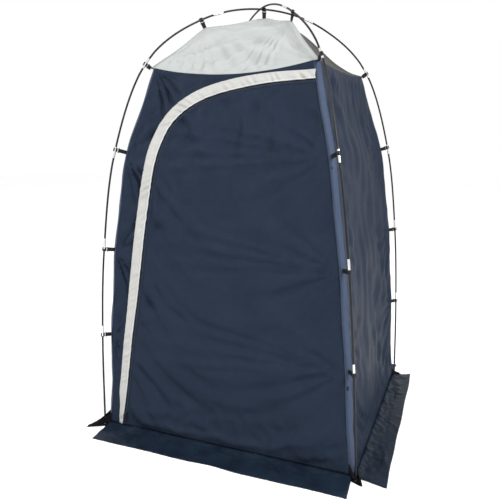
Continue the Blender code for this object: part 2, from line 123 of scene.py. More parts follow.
# How wide the storm flap is at distances along the zip line, from its foot round to the right seam
FLAP_PLACES = (0.0, 0.06, 0.10, 0.20, 0.50, 0.70, 1.40, 1.75, 2.05, 2.33)
FLAP_WIDTHS = (0.016, 0.022, 0.033, 0.040, 0.042, 0.049, 0.050, 0.045, 0.036, 0.045)
STITCH = (0.0034, 0.0007, 0.0005)
STITCH_PITCH = 0.005

# Simulation
CLOTH_FRAMES = 22
CLOTH_GROWTH = 0.010
# How far a point may move, and how far from a panel's edge it may do so
CLOTH_CAP = 0.014
FRONT_CAP = 0.009
ROOF_CAP = 0.006
CLOTH_FADE = 0.08
CLOTH_SETTINGS = {
    "quality": 4,
    "mass": 0.10,
    "vertex_group_mass": "seams",
    "tension_stiffness": 25.0,
    "compression_stiffness": 25.0,
    "shear_stiffness": 8.0,
    "bending_stiffness": 0.08,
    "air_damping": 2.0,
    "shrink_min": -CLOTH_GROWTH,
}

CORNERS = {
    "front_left": (-1, -1),
    "front_right": (1, -1),
    "rear_right": (1, 1),
    "rear_left": (-1, 1),
}
TURN_ORDER = tuple(CORNERS)
CLIP_LEVELS = ("lower", "mid", "upper", "shoulder", "hip")
POLES = (("pole_a", "front_left", "rear_right"), ("pole_b", "front_right", "rear_left"))
ROOF_PANELS = ("roof_front", "roof_right", "roof_back", "roof_left")
ROOF_CELLS = (64, 84)
WALLS = (("right_wall", "flank"), ("back_wall", "face"), ("left_wall", "flank"))

# Studio: name, place, aim, size and power of each light
LIGHTS = (
    ("key", (3.4, -2.2, 3.4), (0.0, 0.0, 0.9), 0.8, 190.0),
    ("front", (-3.0, -2.6, 3.0), (0.0, 0.0, 0.9), 0.8, 90.0),
    ("rim", (-1.5, 3.5, 3.2), (0.0, 0.0, 1.2), 2.5, 24.0),
)
FLOOR_HALF = 14.0
FLOOR_LEVEL = -0.0006
FLOOR_SHADE = (0.985, 0.985, 0.985)


# ---- numbers and curves


def smoothstep(value, low, high):
    t = np.clip((value - low) / (high - low), 0.0, 1.0)
    return t * t * (3.0 - 2.0 * t)


def shares(count):
    return np.linspace(0.0, 1.0, count)


def between(start, end, across):
    """A grid of points between two lines, at shares of the way across."""
    return start[:, None] + (end - start)[:, None] * across[None, :, None]


def unit(vectors):
    return vectors / np.linalg.norm(vectors, axis=-1, keepdims=True)


def field(u, v, wavelength, seed, waves=14):
    """A smooth random height over the plane, about 1 high, its bumps about one wavelength apart."""
    chance = np.random.default_rng(seed)
    height = np.zeros(np.broadcast(u, v).shape)
    for _ in range(waves):
        angle = chance.uniform(0.0, 2.0 * math.pi)
        length = wavelength * chance.uniform(0.7, 1.5)
        phase = chance.uniform(0.0, 2.0 * math.pi)
        height += np.sin(2.0 * math.pi * (u * math.cos(angle) + v * math.sin(angle)) / length + phase)
    return height * math.sqrt(2.0 / waves)


def creases(u, v, wavelength, seed):
    """Sharp ridges between smooth dents, as in crumpled sheet; 1 on a ridge, less between."""
    return 1.0 - np.abs(field(u, v, wavelength, seed))


def fan(u, v, centre, heading, spread, folds, reach, height, phase=0.0):
    """Folds that spread from a point where the cloth is held. Heading and spread are in degrees."""
    across, up = u - centre[0], v - centre[1]
    distance = np.hypot(across, up)
    turn = np.arctan2(up, across) - math.radians(heading)
    turn = np.abs((turn + math.pi) % (2.0 * math.pi) - math.pi) * np.sign(np.sin(turn))
    inside = 1.0 - smoothstep(np.abs(turn), math.radians(spread) * 0.6, math.radians(spread))
    swell = (distance / reach) * np.exp(1.0 - distance / reach)
    return height * swell * inside * np.cos(turn * folds * math.pi / math.radians(spread) + phase)


def distances(path):
    return np.concatenate([[0.0], np.cumsum(np.linalg.norm(np.diff(path, axis=0), axis=1))])


def sampled(path, along, places):
    """A path's points at places along it; along holds the distances of its own points."""
    return np.column_stack([np.interp(places, along, path[:, axis]) for axis in range(path.shape[1])])


def resample(path, count):
    """Evenly spaced points along a path."""
    along = distances(path)
    return sampled(path, along, np.linspace(0.0, along[-1], count))


def smoothed(path, rounds):
    """The path with its small jogs taken out, its ends left where they are."""
    path = path.copy()
    for _ in range(rounds):
        path[1:-1] = (path[:-2] + 2.0 * path[1:-1] + path[2:]) / 4.0
    return path


def beside(path, offset):
    """A plane path moved sideways; a positive offset is to the left of its direction."""
    along = unit(np.gradient(path, axis=0))
    offset = np.broadcast_to(offset, len(path))[:, None]
    return path + offset * np.column_stack([-along[:, 1], along[:, 0]])


def through(heights, points, z):
    """Points at heights z on a smooth curve through the given points."""
    slopes = np.gradient(points, heights, axis=0)
    index = np.clip(np.searchsorted(heights, z) - 1, 0, len(heights) - 2)
    span = (heights[index + 1] - heights[index])[..., None]
    t = (z[..., None] - heights[index][..., None]) / span
    start, end = points[index], points[index + 1]
    lift = (t**3 - 2.0 * t**2 + t) * span * slopes[index] + (t**3 - t**2) * span * slopes[index + 1]
    return start + (3.0 * t**2 - 2.0 * t**3) * (end - start) + lift


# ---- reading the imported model


def node_points(name):
    """The different points of a CAD node at rest."""
    mesh = frame["nodes"][name].data
    flat = np.empty(len(mesh.vertices) * 3, np.float32)
    mesh.vertices.foreach_get("co", flat)
    return np.unique(flat.reshape(-1, 3).astype(float).round(5), axis=0)


def joint_named(name):
    return next(joint for joint in frame["record"]["behaviour"]["joints"] if joint["name"] == name)


def split_where(values, points, gap):
    """Groups of points whose values lie further than a gap apart."""
    order = np.argsort(values)
    cuts = np.nonzero(np.diff(values[order]) > gap)[0] + 1
    return [points[part] for part in np.split(order, cuts)]


# ---- mesh builders


def mesh_object(name, points, faces, materials, uv=None, slots=None):
    """A smooth mesh object. uv holds metres at each point, slots the material of each face."""
    mesh = bpy.data.meshes.new(name)
    mesh.from_pydata(np.asarray(points).tolist(), [], [list(map(int, face)) for face in faces])
    if uv is not None:
        layer = mesh.uv_layers.new(name="metres")
        loops = np.empty(len(mesh.loops), np.int32)
        mesh.loops.foreach_get("vertex_index", loops)
        layer.data.foreach_set("uv", np.asarray(uv, np.float32)[loops].reshape(-1))
    for material in materials:
        mesh.materials.append(material)
    if slots is not None:
        mesh.polygons.foreach_set("material_index", np.asarray(slots, np.int32))
    mesh.shade_smooth()
    obj = bpy.data.objects.new(name, mesh)
    bpy.context.scene.collection.objects.link(obj)
    return obj


def grid_faces(rows, columns, closed=False):
    """Quads of a grid of points stored row by row; closed joins the last column to the first."""
    index = np.arange(rows * columns).reshape(rows, columns)
    if closed:
        index = np.column_stack([index, index[:, 0]])
    corners = [index[:-1, :-1], index[:-1, 1:], index[1:, 1:], index[1:, :-1]]
    return np.stack(corners, axis=-1).reshape(-1, 4)


def capped_faces(rings, sides):
    """Faces of a tube stored ring by ring, with a cap at each end."""
    last = (rings - 1) * sides
    caps = [list(range(sides))[::-1], list(range(last, last + sides))]
    return grid_faces(rings, sides, closed=True).tolist() + caps


def grid_object(name, points, uv, material):
    rows, columns = points.shape[:2]
    return mesh_object(name, points.reshape(-1, 3), grid_faces(rows, columns), [material], uv.reshape(-1, 2))


def thicken(obj, thickness=CLOTH):
    """Gives a sheet its thickness, towards its back."""
    modifier = obj.modifiers.new("Thickness", "SOLIDIFY")
    modifier.thickness = thickness
    modifier.offset = -1.0
    modifier.use_rim = True
    return obj


def soften_edges(obj, width):
    bevel = obj.modifiers.new("Edges", "BEVEL")
    bevel.width = width
    bevel.segments = 2
    return bevel


def grid_normals(points):
    normals = np.cross(np.gradient(points, axis=1), np.gradient(points, axis=0))
    return normals / np.maximum(np.linalg.norm(normals, axis=-1, keepdims=True), 1e-12)


def tube_parts(path, radii, sides):
    """(points, faces) of a capped tube whose rings don't twist."""
    path = np.asarray(path, float)
    tangents = unit(np.gradient(path, axis=0))
    side = np.cross(tangents[0], (0.0, 0.0, 1.0) if abs(tangents[0][2]) < 0.9 else (1.0, 0.0, 0.0))
    turns = np.linspace(0.0, 2.0 * math.pi, sides, endpoint=False)[:, None]
    rings = []
    for point, tangent, radius in zip(path, tangents, np.broadcast_to(radii, len(path))):
        side = side - tangent * np.dot(side, tangent)
        side /= np.linalg.norm(side)
        rings.append(point + radius * (np.cos(turns) * side + np.sin(turns) * np.cross(tangent, side)))
    return np.vstack(rings), capped_faces(len(path), sides)


def tube_object(name, path, radius, sides, material):
    points, faces = tube_parts(path, radius, sides)
    return mesh_object(name, points, faces, [material], points[:, [0, 2]])


def joined(parts):
    """(points, faces, slots) of several (points, faces, slot) parts put together."""
    points, faces, slots = [], [], []
    for part_points, part_faces, slot in parts:
        first = sum(len(p) for p in points)
        points.append(np.asarray(part_points))
        faces += [[first + i for i in face] for face in part_faces]
        slots += [slot] * len(part_faces)
    return np.vstack(points), faces, slots


BOX_CORNERS = np.array([(x, y, z) for x in (-0.5, 0.5) for y in (-0.5, 0.5) for z in (-0.5, 0.5)])
BOX_FACES = ((0, 1, 3, 2), (4, 6, 7, 5), (0, 4, 5, 1), (2, 3, 7, 6), (0, 2, 6, 4), (1, 5, 7, 3))


def boxes(centres, along, out, size):
    """Small blocks, each size (along, across, out), as (points, faces)."""
    along = unit(np.asarray(along))
    across = unit(np.cross(out, along))
    out = np.cross(along, across)
    axes = np.stack([along * size[0], across * size[1], out * size[2]], axis=1)
    points = centres[:, None, :] + np.einsum("kc,ncd->nkd", BOX_CORNERS, axes)
    faces = [[8 * n + i for i in face] for n in range(len(centres)) for face in BOX_FACES]
    return points.reshape(-1, 3), faces


def stitches(path, normals):
    """A row of thread stitches lying on a path, as (points, faces)."""
    along = distances(path)
    places = np.arange(STITCH_PITCH / 2.0, along[-1], STITCH_PITCH)
    out = unit(sampled(normals, along, places))
    heading = unit(sampled(np.gradient(path, axis=0), along, places))
    return boxes(sampled(path, along, places) + out * STITCH[2] * 0.3, heading, out, STITCH)


def sew(name, rows, slot, material):
    """Rows of stitches along (path, normals) pairs, as one piece of the tent."""
    points, faces, _ = joined([(*stitches(path, normals), 0) for path, normals in rows])
    return finish_piece(mesh_object(name, points, faces, [material]), "tent", slot)


# ---- materials


class Nodes:
    """A material's node tree, with the few nodes that every finish here is made of."""

    def __init__(self, name, roughness, metallic=0.0, **constants):
        self.material = bpy.data.materials.new(name)
        self.material.use_nodes = True
        self.tree = self.material.node_tree
        self.shader = self.tree.nodes["Principled BSDF"]
        self.shader.inputs["Roughness"].default_value = roughness
        self.shader.inputs["Metallic"].default_value = metallic
        for socket, value in constants.items():
            self.shader.inputs[socket.replace("_", " ")].default_value = value

    def put(self, socket, value):
        """Gives an input a value, or links another node's output to it."""
        if isinstance(value, bpy.types.NodeSocket):
            self.tree.links.new(value, socket)
        else:
            socket.default_value = value

    def add(self, kind, inputs, **settings):
        node = self.tree.nodes.new(kind)
        for key, value in settings.items():
            setattr(node, key, value)
        for key, value in inputs.items():
            self.put(node.inputs[key], value)
        return node.outputs

    def coordinates(self, which):
        return self.add("ShaderNodeTexCoord", {})[which]

    def noise(self, where, scale, detail=3.0, stretch=(1.0, 1.0, 1.0)):
        where = self.add("ShaderNodeMapping", {"Vector": where, "Scale": stretch})["Vector"]
        return self.add("ShaderNodeTexNoise", {"Vector": where, "Scale": scale, "Detail": detail})["Fac"]

    def wave(self, where, period, direction):
        inputs = {"Vector": where, "Scale": math.pi / (10.0 * period)}
        return self.add("ShaderNodeTexWave", inputs, bands_direction=direction)["Fac"]

    def math(self, operation, first, second):
        return self.add("ShaderNodeMath", {0: first, 1: second}, operation=operation)[0]

    def mottle(self, factor, colour, change):
        """Base colour that wanders a little lighter and darker with a factor."""
        node = self.tree.nodes.new("ShaderNodeValToRGB")
        stops = ((0.3, 1.0 - change), (0.7, 1.0 + change))
        for element, (place, share) in zip(node.color_ramp.elements, stops):
            element.position = place
            element.color = (*(c * share for c in colour), 1.0)
        self.put(node.inputs["Fac"], factor)
        self.put(self.shader.inputs["Base Color"], node.outputs["Color"])

    def range(self, factor, low, high, socket):
        inputs = {"Value": factor, "To Min": low, "To Max": high}
        self.put(self.shader.inputs[socket], self.add("ShaderNodeMapRange", inputs)["Result"])

    def bump(self, heights):
        """Stacks (height, distance, strength) bumps."""
        below = {}
        for height, distance, strength in heights:
            inputs = {"Height": height, "Distance": distance, "Strength": strength, **below}
            below = {"Normal": self.add("ShaderNodeBump", inputs)["Normal"]}
        self.put(self.shader.inputs["Normal"], below["Normal"])


def woven(name, colour, roughness, thread=0.0009, change=0.10, crinkle=0.0007, where="UV", **constants):
    """Plain-weave cloth: threads both ways, a slight slub, soft colour drift and fine handling creases."""
    nodes = Nodes(name, roughness, **constants)
    place = nodes.coordinates(where)
    weave = nodes.math("MULTIPLY", nodes.wave(place, thread, "X"), nodes.wave(place, thread, "Y"))
    slub = nodes.noise(place, 260.0, 2.0, (1.0, 6.0, 1.0))
    drift = nodes.noise(place, 5.0, 4.0)
    small = nodes.noise(place, 38.0, 5.0)
    nodes.mottle(nodes.math("MULTIPLY", nodes.math("ADD", drift, small), 0.5), colour, change)
    nodes.range(drift, roughness - 0.06, roughness + 0.06, "Roughness")
    nodes.bump(((small, crinkle, 0.6), (slub, 0.0002, 0.25), (weave, 0.00025, 0.35)))
    return nodes.material


def netting(name, colour):
    """Fine insect net: crossed threads with open holes between them."""
    nodes = Nodes(name, 0.65)
    place = nodes.coordinates("UV")
    threads = nodes.math("MAXIMUM", nodes.wave(place, 0.0026, "X"), nodes.wave(place, 0.0026, "Y"))
    nodes.mottle(nodes.noise(place, 14.0, 4.0), colour, 0.25)
    closed = nodes.math("GREATER_THAN", threads, 0.62)
    nodes.put(nodes.shader.inputs["Alpha"], closed)
    nodes.bump(((threads, 0.0003, 0.6),))
    return nodes.material


def film(name, colour):
    """Polyethylene sheet: woven tape under a glossy skin, scuffed and creased."""
    nodes = Nodes(name, 0.30, IOR=1.16, Coat_Weight=0.03, Coat_Roughness=0.12)
    place = nodes.coordinates("UV")
    tapes = nodes.math("MAXIMUM", nodes.wave(place, 0.0026, "X"), nodes.wave(place, 0.0026, "Y"))
    scuff = nodes.noise(place, 11.0, 6.0)
    small = nodes.noise(place, 55.0, 6.0)
    nodes.mottle(scuff, colour, 0.30)
    nodes.range(scuff, 0.22, 0.44, "Roughness")
    nodes.bump(((small, 0.0016, 0.7), (tapes, 0.0002, 0.3)))
    return nodes.material


def rod(name, colour, roughness, metallic, streak, where="Object", **constants):
    """A drawn rod or tube: fine streaks and handling marks."""
    nodes = Nodes(name, roughness, metallic, **constants)
    place = nodes.coordinates(where)
    marks = nodes.noise(place, 90.0, 5.0, (1.0, 1.0, 0.12))
    nodes.mottle(marks, colour, streak)
    nodes.range(nodes.noise(place, 30.0, 4.0), roughness - 0.08, roughness + 0.12, "Roughness")
    nodes.bump(((marks, 0.0002, 0.3),))
    return nodes.material


def moulded(name, colour, roughness, metallic=0.0, **constants):
    """Moulded plastic or lacquered metal: fine spark-eroded grain and worn shine."""
    nodes = Nodes(name, roughness, metallic, **constants)
    place = nodes.coordinates("Object")
    grain = nodes.noise(place, 1400.0, 2.0)
    wear = nodes.noise(place, 120.0, 4.0)
    nodes.mottle(wear, colour, 0.25)
    nodes.range(wear, roughness - 0.10, roughness + 0.10, "Roughness")
    nodes.bump(((grain, 0.0001, 0.4), (wear, 0.0002, 0.3)))
    return nodes.material


def make_materials():
    return {
        "wall": woven("navy_polyester", (0.0146, 0.0212, 0.0358), 0.40, IOR=1.16, Specular_IOR_Level=0.12),
        # The corner band is the navy wall cloth with its colour painted lighter: painted sheen for the light
        # that its corner faces.
        "band": woven("corner_band_painted_sheen", (0.044, 0.060, 0.098), 0.42, 0.0016, IOR=1.2, Specular_IOR_Level=0.25),
        "roof": woven("pale_polyester", (0.345, 0.362, 0.357), 0.55, change=0.03, IOR=1.25),
        "flap": woven("flap_polyester", (0.365, 0.362, 0.350), 0.55, change=0.05, IOR=1.25),
        # The hem is the flap's own cloth folded over; its colour is painted brighter as a painted highlight
        # for the light that its raised edge catches.
        "hem": woven("flap_hem", (0.450, 0.450, 0.440), 0.50, change=0.03, IOR=1.25),
        "net": netting("roof_net", (0.060, 0.058, 0.055)),
        "skirt": film("skirt_film", (0.0085, 0.0145, 0.0255)),
        "foot": woven("foot_webbing", (0.006, 0.006, 0.007), 0.62, 0.0018, IOR=1.15),
        "webbing": woven("clip_webbing", (0.008, 0.008, 0.009), 0.60, 0.0014, IOR=1.2),
        "elastic": woven("elastic_cord", (0.012, 0.014, 0.022), 0.60, 0.0010),
        "thread": woven("pale_thread", (0.55, 0.55, 0.53), 0.60, 0.0006, where="Object"),
        "dark_thread": woven("navy_thread", (0.035, 0.045, 0.085), 0.60, 0.0006, where="Object"),
        "tape": woven("zip_tape", (0.014, 0.021, 0.038), 0.60, 0.0008, IOR=1.25),
        "teeth": moulded("zip_coil", (0.012, 0.017, 0.030), 0.34),
        "slider": moulded("slider_lacquer", (0.050, 0.050, 0.055), 0.30, 0.6),
        "plastic": moulded("clip_plastic", (0.007, 0.007, 0.008), 0.36, IOR=1.3),
        "eyelet": moulded("eyelet_brass", (0.38, 0.37, 0.35), 0.30, 1.0),
        "rod": rod("fibreglass", (0.009, 0.010, 0.011), 0.30, 0.0, 0.35, IOR=1.28),
        "ferrule": rod("ferrule_steel", (0.72, 0.72, 0.71), 0.20, 1.0, 0.08),
    }


# ---- camera, floor and light


def make_camera():
    data = bpy.data.cameras.new("camera")
    data.lens = CAMERA_LENS
    camera = bpy.data.objects.new("camera", data)
    camera.location = CAMERA_PLACE
    camera.rotation_euler = (math.radians(90.0 - CAMERA_DOWN), 0.0, math.radians(CAMERA_YAW))
    bpy.context.scene.collection.objects.link(camera)
    bpy.context.scene.camera = camera


def area_light(name, place, target, size, power):
    data = bpy.data.lights.new(name, "AREA")
    data.size = size
    data.energy = power
    light = bpy.data.objects.new(name, data)
    light.location = place
    light.rotation_euler = (Vector(target) - Vector(place)).to_track_quat("-Z", "Y").to_euler()
    bpy.context.scene.collection.objects.link(light)


def make_studio():
    scene = bpy.context.scene
    scene.view_settings.view_transform = "Standard"
    scene.world = bpy.data.worlds.new("studio")
    scene.world.use_nodes = True
    background = scene.world.node_tree.nodes["Background"].inputs
    background["Color"].default_value = (1.0, 1.0, 1.0, 1.0)
    background["Strength"].default_value = 1.0
    nodes = Nodes("studio_floor", 0.85)
    nodes.mottle(nodes.noise(nodes.coordinates("Object"), 1.5), FLOOR_SHADE, 0.004)
    corners = [(x * FLOOR_HALF, y * FLOOR_HALF, FLOOR_LEVEL) for x, y in CORNERS.values()]
    mesh_object("studio_floor", corners, [(0, 1, 2, 3)], [nodes.material])
    for light in LIGHTS:
        area_light(*light)


# ---- poles

POLE_SIDES = 14
POLE_CENTRE = 0.7
POLE_STEP = 0.014
ROD_RADIUS = 0.00425
FERRULE_RADIUS = ROD_RADIUS * 1.2
RING_GAP = 0.010
FERRULE_GAP = 0.060
FERRULE_LEAST = 0.0048
FERRULE_EDGE = 0.0008
LINE_DEGREE = 22
LINE_POINTS = 1600


def pole_nodes(pole):
    return [name for name in frame["nodes"] if name.startswith(pole + "_")]


def pole_line(pole, first):
    """The pole's centre line: a rough one fitted by angle round a low point, then one through its rings."""
    points = np.vstack([node_points(name) for name in pole_nodes(pole)])
    side, end = CORNERS[first]
    reach = -(points[:, 0] * side + points[:, 1] * end) / math.sqrt(2.0)
    drift = (points[:, 0] * end - points[:, 1] * side) / math.sqrt(2.0)
    rise = points[:, 2] - POLE_CENTRE
    angle = np.arctan2(reach, rise)
    radius, sideways = (
        np.polynomial.Chebyshev.fit(angle, values, LINE_DEGREE) for values in (np.hypot(reach, rise), drift)
    )
    turns = np.linspace(angle.min(), angle.max(), LINE_POINTS)
    far, up, off = radius(turns) * np.sin(turns), radius(turns) * np.cos(turns), sideways(turns)
    x = (-far * side + off * end) / math.sqrt(2.0)
    y = (-far * end - off * side) / math.sqrt(2.0)
    rough = resample(np.column_stack([x, y, up + POLE_CENTRE]), LINE_POINTS)
    centres = np.array([group.mean(axis=0) for group in rings(rough, points)])
    knots = distances(centres)
    return resample(through(knots, centres, np.linspace(0.0, knots[-1], LINE_POINTS)), LINE_POINTS)


def nearest(line, points):
    """For each point, the index of the nearest place on a line and how far off it is."""
    gaps = np.linalg.norm(line[None, :, :] - points[:, None, :], axis=2)
    return gaps.argmin(axis=1), gaps.min(axis=1)


def rings(line, points):
    """The points of a rod in groups, one for each ring of points round it."""
    index, _ = nearest(line, points)
    return split_where(distances(line)[index], points, RING_GAP)


def find_ferrules(line, points):
    """(start, end) along the line of each wider stretch of a rod."""
    along = distances(line)
    wide = []
    for ring in rings(line, points):
        centre = ring.mean(axis=0)
        if np.linalg.norm(ring - centre, axis=1).max() > FERRULE_LEAST:
            index, _ = nearest(line, centre[None])
            wide.append(along[index[0]])
    groups = split_where(np.array(wide), np.array(wide), FERRULE_GAP) if wide else []
    return [(group.min(), group.max()) for group in groups]


def build_pole(pole, line, look):
    along = distances(line)
    for name in pole_nodes(pole):
        index, _ = nearest(line, node_points(name))
        places = along[index]
        ferrules = find_ferrules(line, node_points(name))
        stops = list(np.arange(places.min(), places.max(), POLE_STEP)) + [places.max()]
        for start, end in ferrules:
            stops += [start, start + FERRULE_EDGE, end - FERRULE_EDGE, end]
        stops = np.unique(np.round(stops, 5))
        radii = np.full(len(stops), ROD_RADIUS)
        for start, end in ferrules:
            radii[(stops > start + 1e-6) & (stops < end - 1e-6)] = FERRULE_RADIUS
        points, faces = tube_parts(sampled(line, along, stops), radii, POLE_SIDES)
        middle = np.repeat((stops[:-1] + stops[1:]) / 2.0, POLE_SIDES)
        bright = [int(any(start < m < end for start, end in ferrules)) for m in middle] + [0, 0]
        piece = mesh_object(name + "_rod", points, faces, [look["rod"], look["ferrule"]], slots=bright)
        piece.data.set_sharp_from_angle(angle=math.radians(40.0))
        finish_piece(piece, "tent", "pole", name)


def finish_piece(piece, body, slot, *nodes):
    """Puts a rigid piece on its body and hides the CAD nodes that it stands for; its slot is not used."""
    if body:
        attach(piece, body)
    if nodes:
        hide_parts(*nodes)
    return piece


# ---- clips

HOOK_INNER = 0.0050
HOOK_OUTER = 0.0088
HOOK_WIDTH = 0.016
HOOK_MOUTH = (205.0, 285.0)
PLATE_START = 0.0066
PLATE_END = 0.0175
PLATE_HALF = (0.0110, 0.0019)
SLOT_RUN = (0.0098, 0.0132)
SLOT_HALF = 0.0088
STRAP_WIDTH = 0.0168
STRAP = 0.0014
STRAP_OVERLAP = 0.003


def clip_facts(name, line):
    """(place on the pole, the clip's three axes, distance to the cloth) of a CAD clip."""
    points = node_points(name)
    index, _ = nearest(line, points.mean(axis=0)[None])
    at = line[index[0]]
    tangent = unit(line[min(index[0] + 5, len(line) - 1)] - line[max(index[0] - 5, 0)])
    flat = points - at - np.outer((points - at) @ tangent, tangent)
    reach = np.linalg.norm(flat, axis=1)
    towards = unit(flat[reach > reach.max() - 0.0012].mean(axis=0))
    return at, np.array([towards, np.cross(tangent, towards), tangent]), float((flat @ towards).max())


def hook_part():
    """The C-shaped hook as a bevelled ring section swept across its width."""
    half = HOOK_WIDTH / 2.0
    sweep = np.radians(np.linspace(HOOK_MOUTH[1] - 360.0, HOOK_MOUTH[0], 22))
    middle, thin = (HOOK_INNER + HOOK_OUTER) / 2.0, (HOOK_OUTER - HOOK_INNER) / 2.0
    profile = [(thin, half * 0.8), (thin * 0.7, half), (-thin * 0.7, half), (-thin, half * 0.8)]
    profile += [(a, -b) for a, b in reversed(profile)]
    points = [((middle + a) * math.cos(t), (middle + a) * math.sin(t), b) for t in sweep for a, b in profile]
    return np.array(points), capped_faces(len(sweep), len(profile))


def plate_part():
    """The flat plate beside the hook, with the slot that the webbing runs through."""
    (wide, half_thick), (start, end) = PLATE_HALF, SLOT_RUN
    narrow = wide * 0.7
    outer = [(PLATE_START, -narrow), (PLATE_END, -wide), (PLATE_END, wide), (PLATE_START, narrow)]
    inner = [(start, -SLOT_HALF), (end, -SLOT_HALF), (end, SLOT_HALF), (start, SLOT_HALF)]
    levels = [(outer, -1.0), (outer, 1.0), (inner, 1.0), (inner, -1.0)]
    points = [(x, half_thick * level, z) for outline, level in levels for x, z in outline]
    here = np.arange(16).reshape(4, 4)
    beside_here, next_level = np.roll(here, -1, axis=1), np.roll(here, -1, axis=0)
    faces = np.stack([here, beside_here, np.roll(next_level, -1, axis=1), next_level], axis=-1)
    return np.array(points), faces.reshape(-1, 4).tolist()


def strap_part(reach):
    """The webbing that passes through the plate's slot and doubles back to the seam."""
    bar = (SLOT_RUN[1] + PLATE_END) / 2.0
    end = max(reach + STRAP_OVERLAP, PLATE_END + 0.006)
    near = [(end, 0.0007), (PLATE_END + 0.003, 0.0019), (bar + 0.0012, 0.0026), (bar - 0.0014, 0.0024)]
    run = np.array([*near, (SLOT_RUN[0] + 0.0012, 0.0), *((x, -y) for x, y in reversed(near))])
    run = smoothed(resample(run, 30), 2)
    side = unit(np.gradient(run, axis=0))[:, ::-1] * (1.0, -1.0) * STRAP / 2.0
    half = STRAP_WIDTH / 2.0
    edges = ((side, half), (-side, half), (-side, -half), (side, -half))
    rings = np.stack([np.column_stack([run + shift, np.full(len(run), z)]) for shift, z in edges], axis=1)
    return rings.reshape(-1, 3), capped_faces(len(run), 4)


def build_clips(lines, look):
    """Every clip; returns the height at which each holds the cloth."""
    heights = {}
    names = [f"clip_{level}_{corner}" for level in CLIP_LEVELS for corner in TURN_ORDER] + ["clip_apex"]
    finishes = [look["plastic"], look["webbing"]]
    for name in (name for name in names if name in frame["nodes"]):
        corner = name.split("_", 2)[2] if name != "clip_apex" else "front_left"
        at, axes, reach = clip_facts(name, lines[corner])
        points, faces, slots = joined([(*hook_part(), 0), (*plate_part(), 0), (*strap_part(reach), 1)])
        piece = mesh_object(name + "_hook", points @ axes + at, faces, finishes, points[:, [0, 2]], slots)
        piece.data.set_sharp_from_angle(angle=math.radians(35.0))
        finish_piece(piece, "tent", "clip", name)
        heights[name] = float((at + axes[0] * reach)[2])
    return heights


# ---- seams


class Seams:
    """The shell's corner seams: two scalloped curves by height at each corner, one per edge of its band."""

    def __init__(self, clip_heights):
        self.knots, self.held = {}, {}
        for corner, (side, end) in CORNERS.items():
            wall = "right_wall" if side > 0 else "left_wall"
            points = node_points(wall)
            face, flank = [], []
            for row in split_where(points[:, 2], points, LEVEL_GAP):
                near = row[row[:, 1] * end > 0]
                face.append(near[np.argmax(near[:, 1] * end)])
                flank.append(near[np.argmax(near[:, 0] * side)])
            self.knots[corner, "face"] = np.array(face)
            self.knots[corner, "flank"] = np.array(flank)
            middle = [clip_heights[f"clip_{level}_{corner}"] for level in ("lower", "mid", "upper")]
            self.held[corner] = np.array([face[0][2], *middle, face[-1][2]])
        self.bottom = min(knots[0][2] for knots in self.knots.values())
        self.top = max(knots[-1][2] for knots in self.knots.values())

    def at(self, corner, edge, z):
        """Points on a seam at heights z, drawn in a little between the clips."""
        z = np.asarray(z, float)
        knots = self.knots[corner, edge]
        points = through(knots[:, 2], knots, z)
        share = np.interp(z, self.held[corner], np.arange(len(self.held[corner])))
        side, end = CORNERS[corner]
        pull = SCALLOP * np.sin(math.pi * share) ** 2
        points = points - pull[..., None] * np.array([side, end, 0.0]) / math.sqrt(2.0)
        points[..., 2] = z
        return points


def wall_surface(seams, left, right, across, z):
    """Points of a wall between two seams, at shares across and heights z, its middle drawn in a little."""
    start, end = seams.at(*left, z), seams.at(*right, z)
    points = start + (end - start) * across[..., None]
    outward = unit(np.cross(end - start, (0.0, 0.0, 1.0)))
    rise = np.clip((z - seams.bottom) / (seams.top - seams.bottom), 0.0, 1.0)
    bow = WALL_BOW * 4.0 * across * (1.0 - across) * np.sin(math.pi * rise)
    return points - outward * bow[..., None], outward


def sagged_top(seams, across, side):
    """Height of the roof seam at a share across a wall."""
    return seams.top - SEAM_SAG[side] * 4.0 * across * (1.0 - across)


# ---- folds in each panel


def handling_folds(u, v, seed):
    """What every panel shows: broad billows, soft folds, fine creases, and faint lines from its packing."""
    height = 0.0045 * field(u, v, 0.42, seed)
    height += 0.0030 * field(u, v * 0.45, 0.13, seed + 1)
    height += 0.0018 * creases(u, v, 0.16, seed + 2) * smoothstep(field(u, v, 0.5, seed + 3), -0.2, 1.2)
    for place, lines, depth in ((v, PACKED_LEVELS, 0.0007), (u, PACKED_UPRIGHTS, 0.0006)):
        for line in lines:
            height -= depth * np.exp(-(((place - line) / PACKED_WIDTH) ** 2))
    return height


def clip_fans(u, v, heights, seed):
    """Folds that spread into a wall from the clips at its two sides."""
    total = np.zeros(u.shape)
    chance = np.random.default_rng(seed)
    for height in heights:
        half = 0.5 * float(np.interp(height, v[:, 0], np.abs(u[:, 0] * 2.0)))
        for edge, heading in ((-half, 0.0), (half, 180.0)):
            tilt = chance.uniform(-14.0, 14.0)
            size = chance.uniform(0.7, 1.2)
            phase = chance.uniform(0, 6)
            total += fan(u, v, (edge, height), heading + tilt, 48.0, 4.0, 0.13, 0.0040 * size, phase)
    return total


def hanging_folds(u, v, top, seed, height=0.0022):
    """Upright folds under a seam, dying out downwards."""
    fade = smoothstep(v, top - 0.42, top - 0.10) * (1.0 - 0.7 * smoothstep(v, top - 0.05, top))
    return height * fade * (field(u, v * 0.16, 0.062, seed) + 0.6 * field(u, v * 0.25, 0.12, seed + 1))


def ground_folds(u, v, bottom, seed, height=0.0028):
    """Crumpling just above the ground, where the wall meets its skirt."""
    fade = 1.0 - smoothstep(v, bottom + 0.05, bottom + 0.32)
    crumple = creases(u, v, 0.10, seed) + 0.5 * field(u, v * 0.6, 0.05, seed + 1)
    return height * fade * crumple * smoothstep(v, bottom, bottom + 0.03)


# ---- cloth simulation


CLOTH_PIECES = []


def simulate_later(panel, edge, most, reach):
    """Lists a panel for the simulation; a point may move more the further it is from the panel's edge."""
    CLOTH_PIECES.append((panel, most * smoothstep(edge, 0.0, reach) + 1e-5))


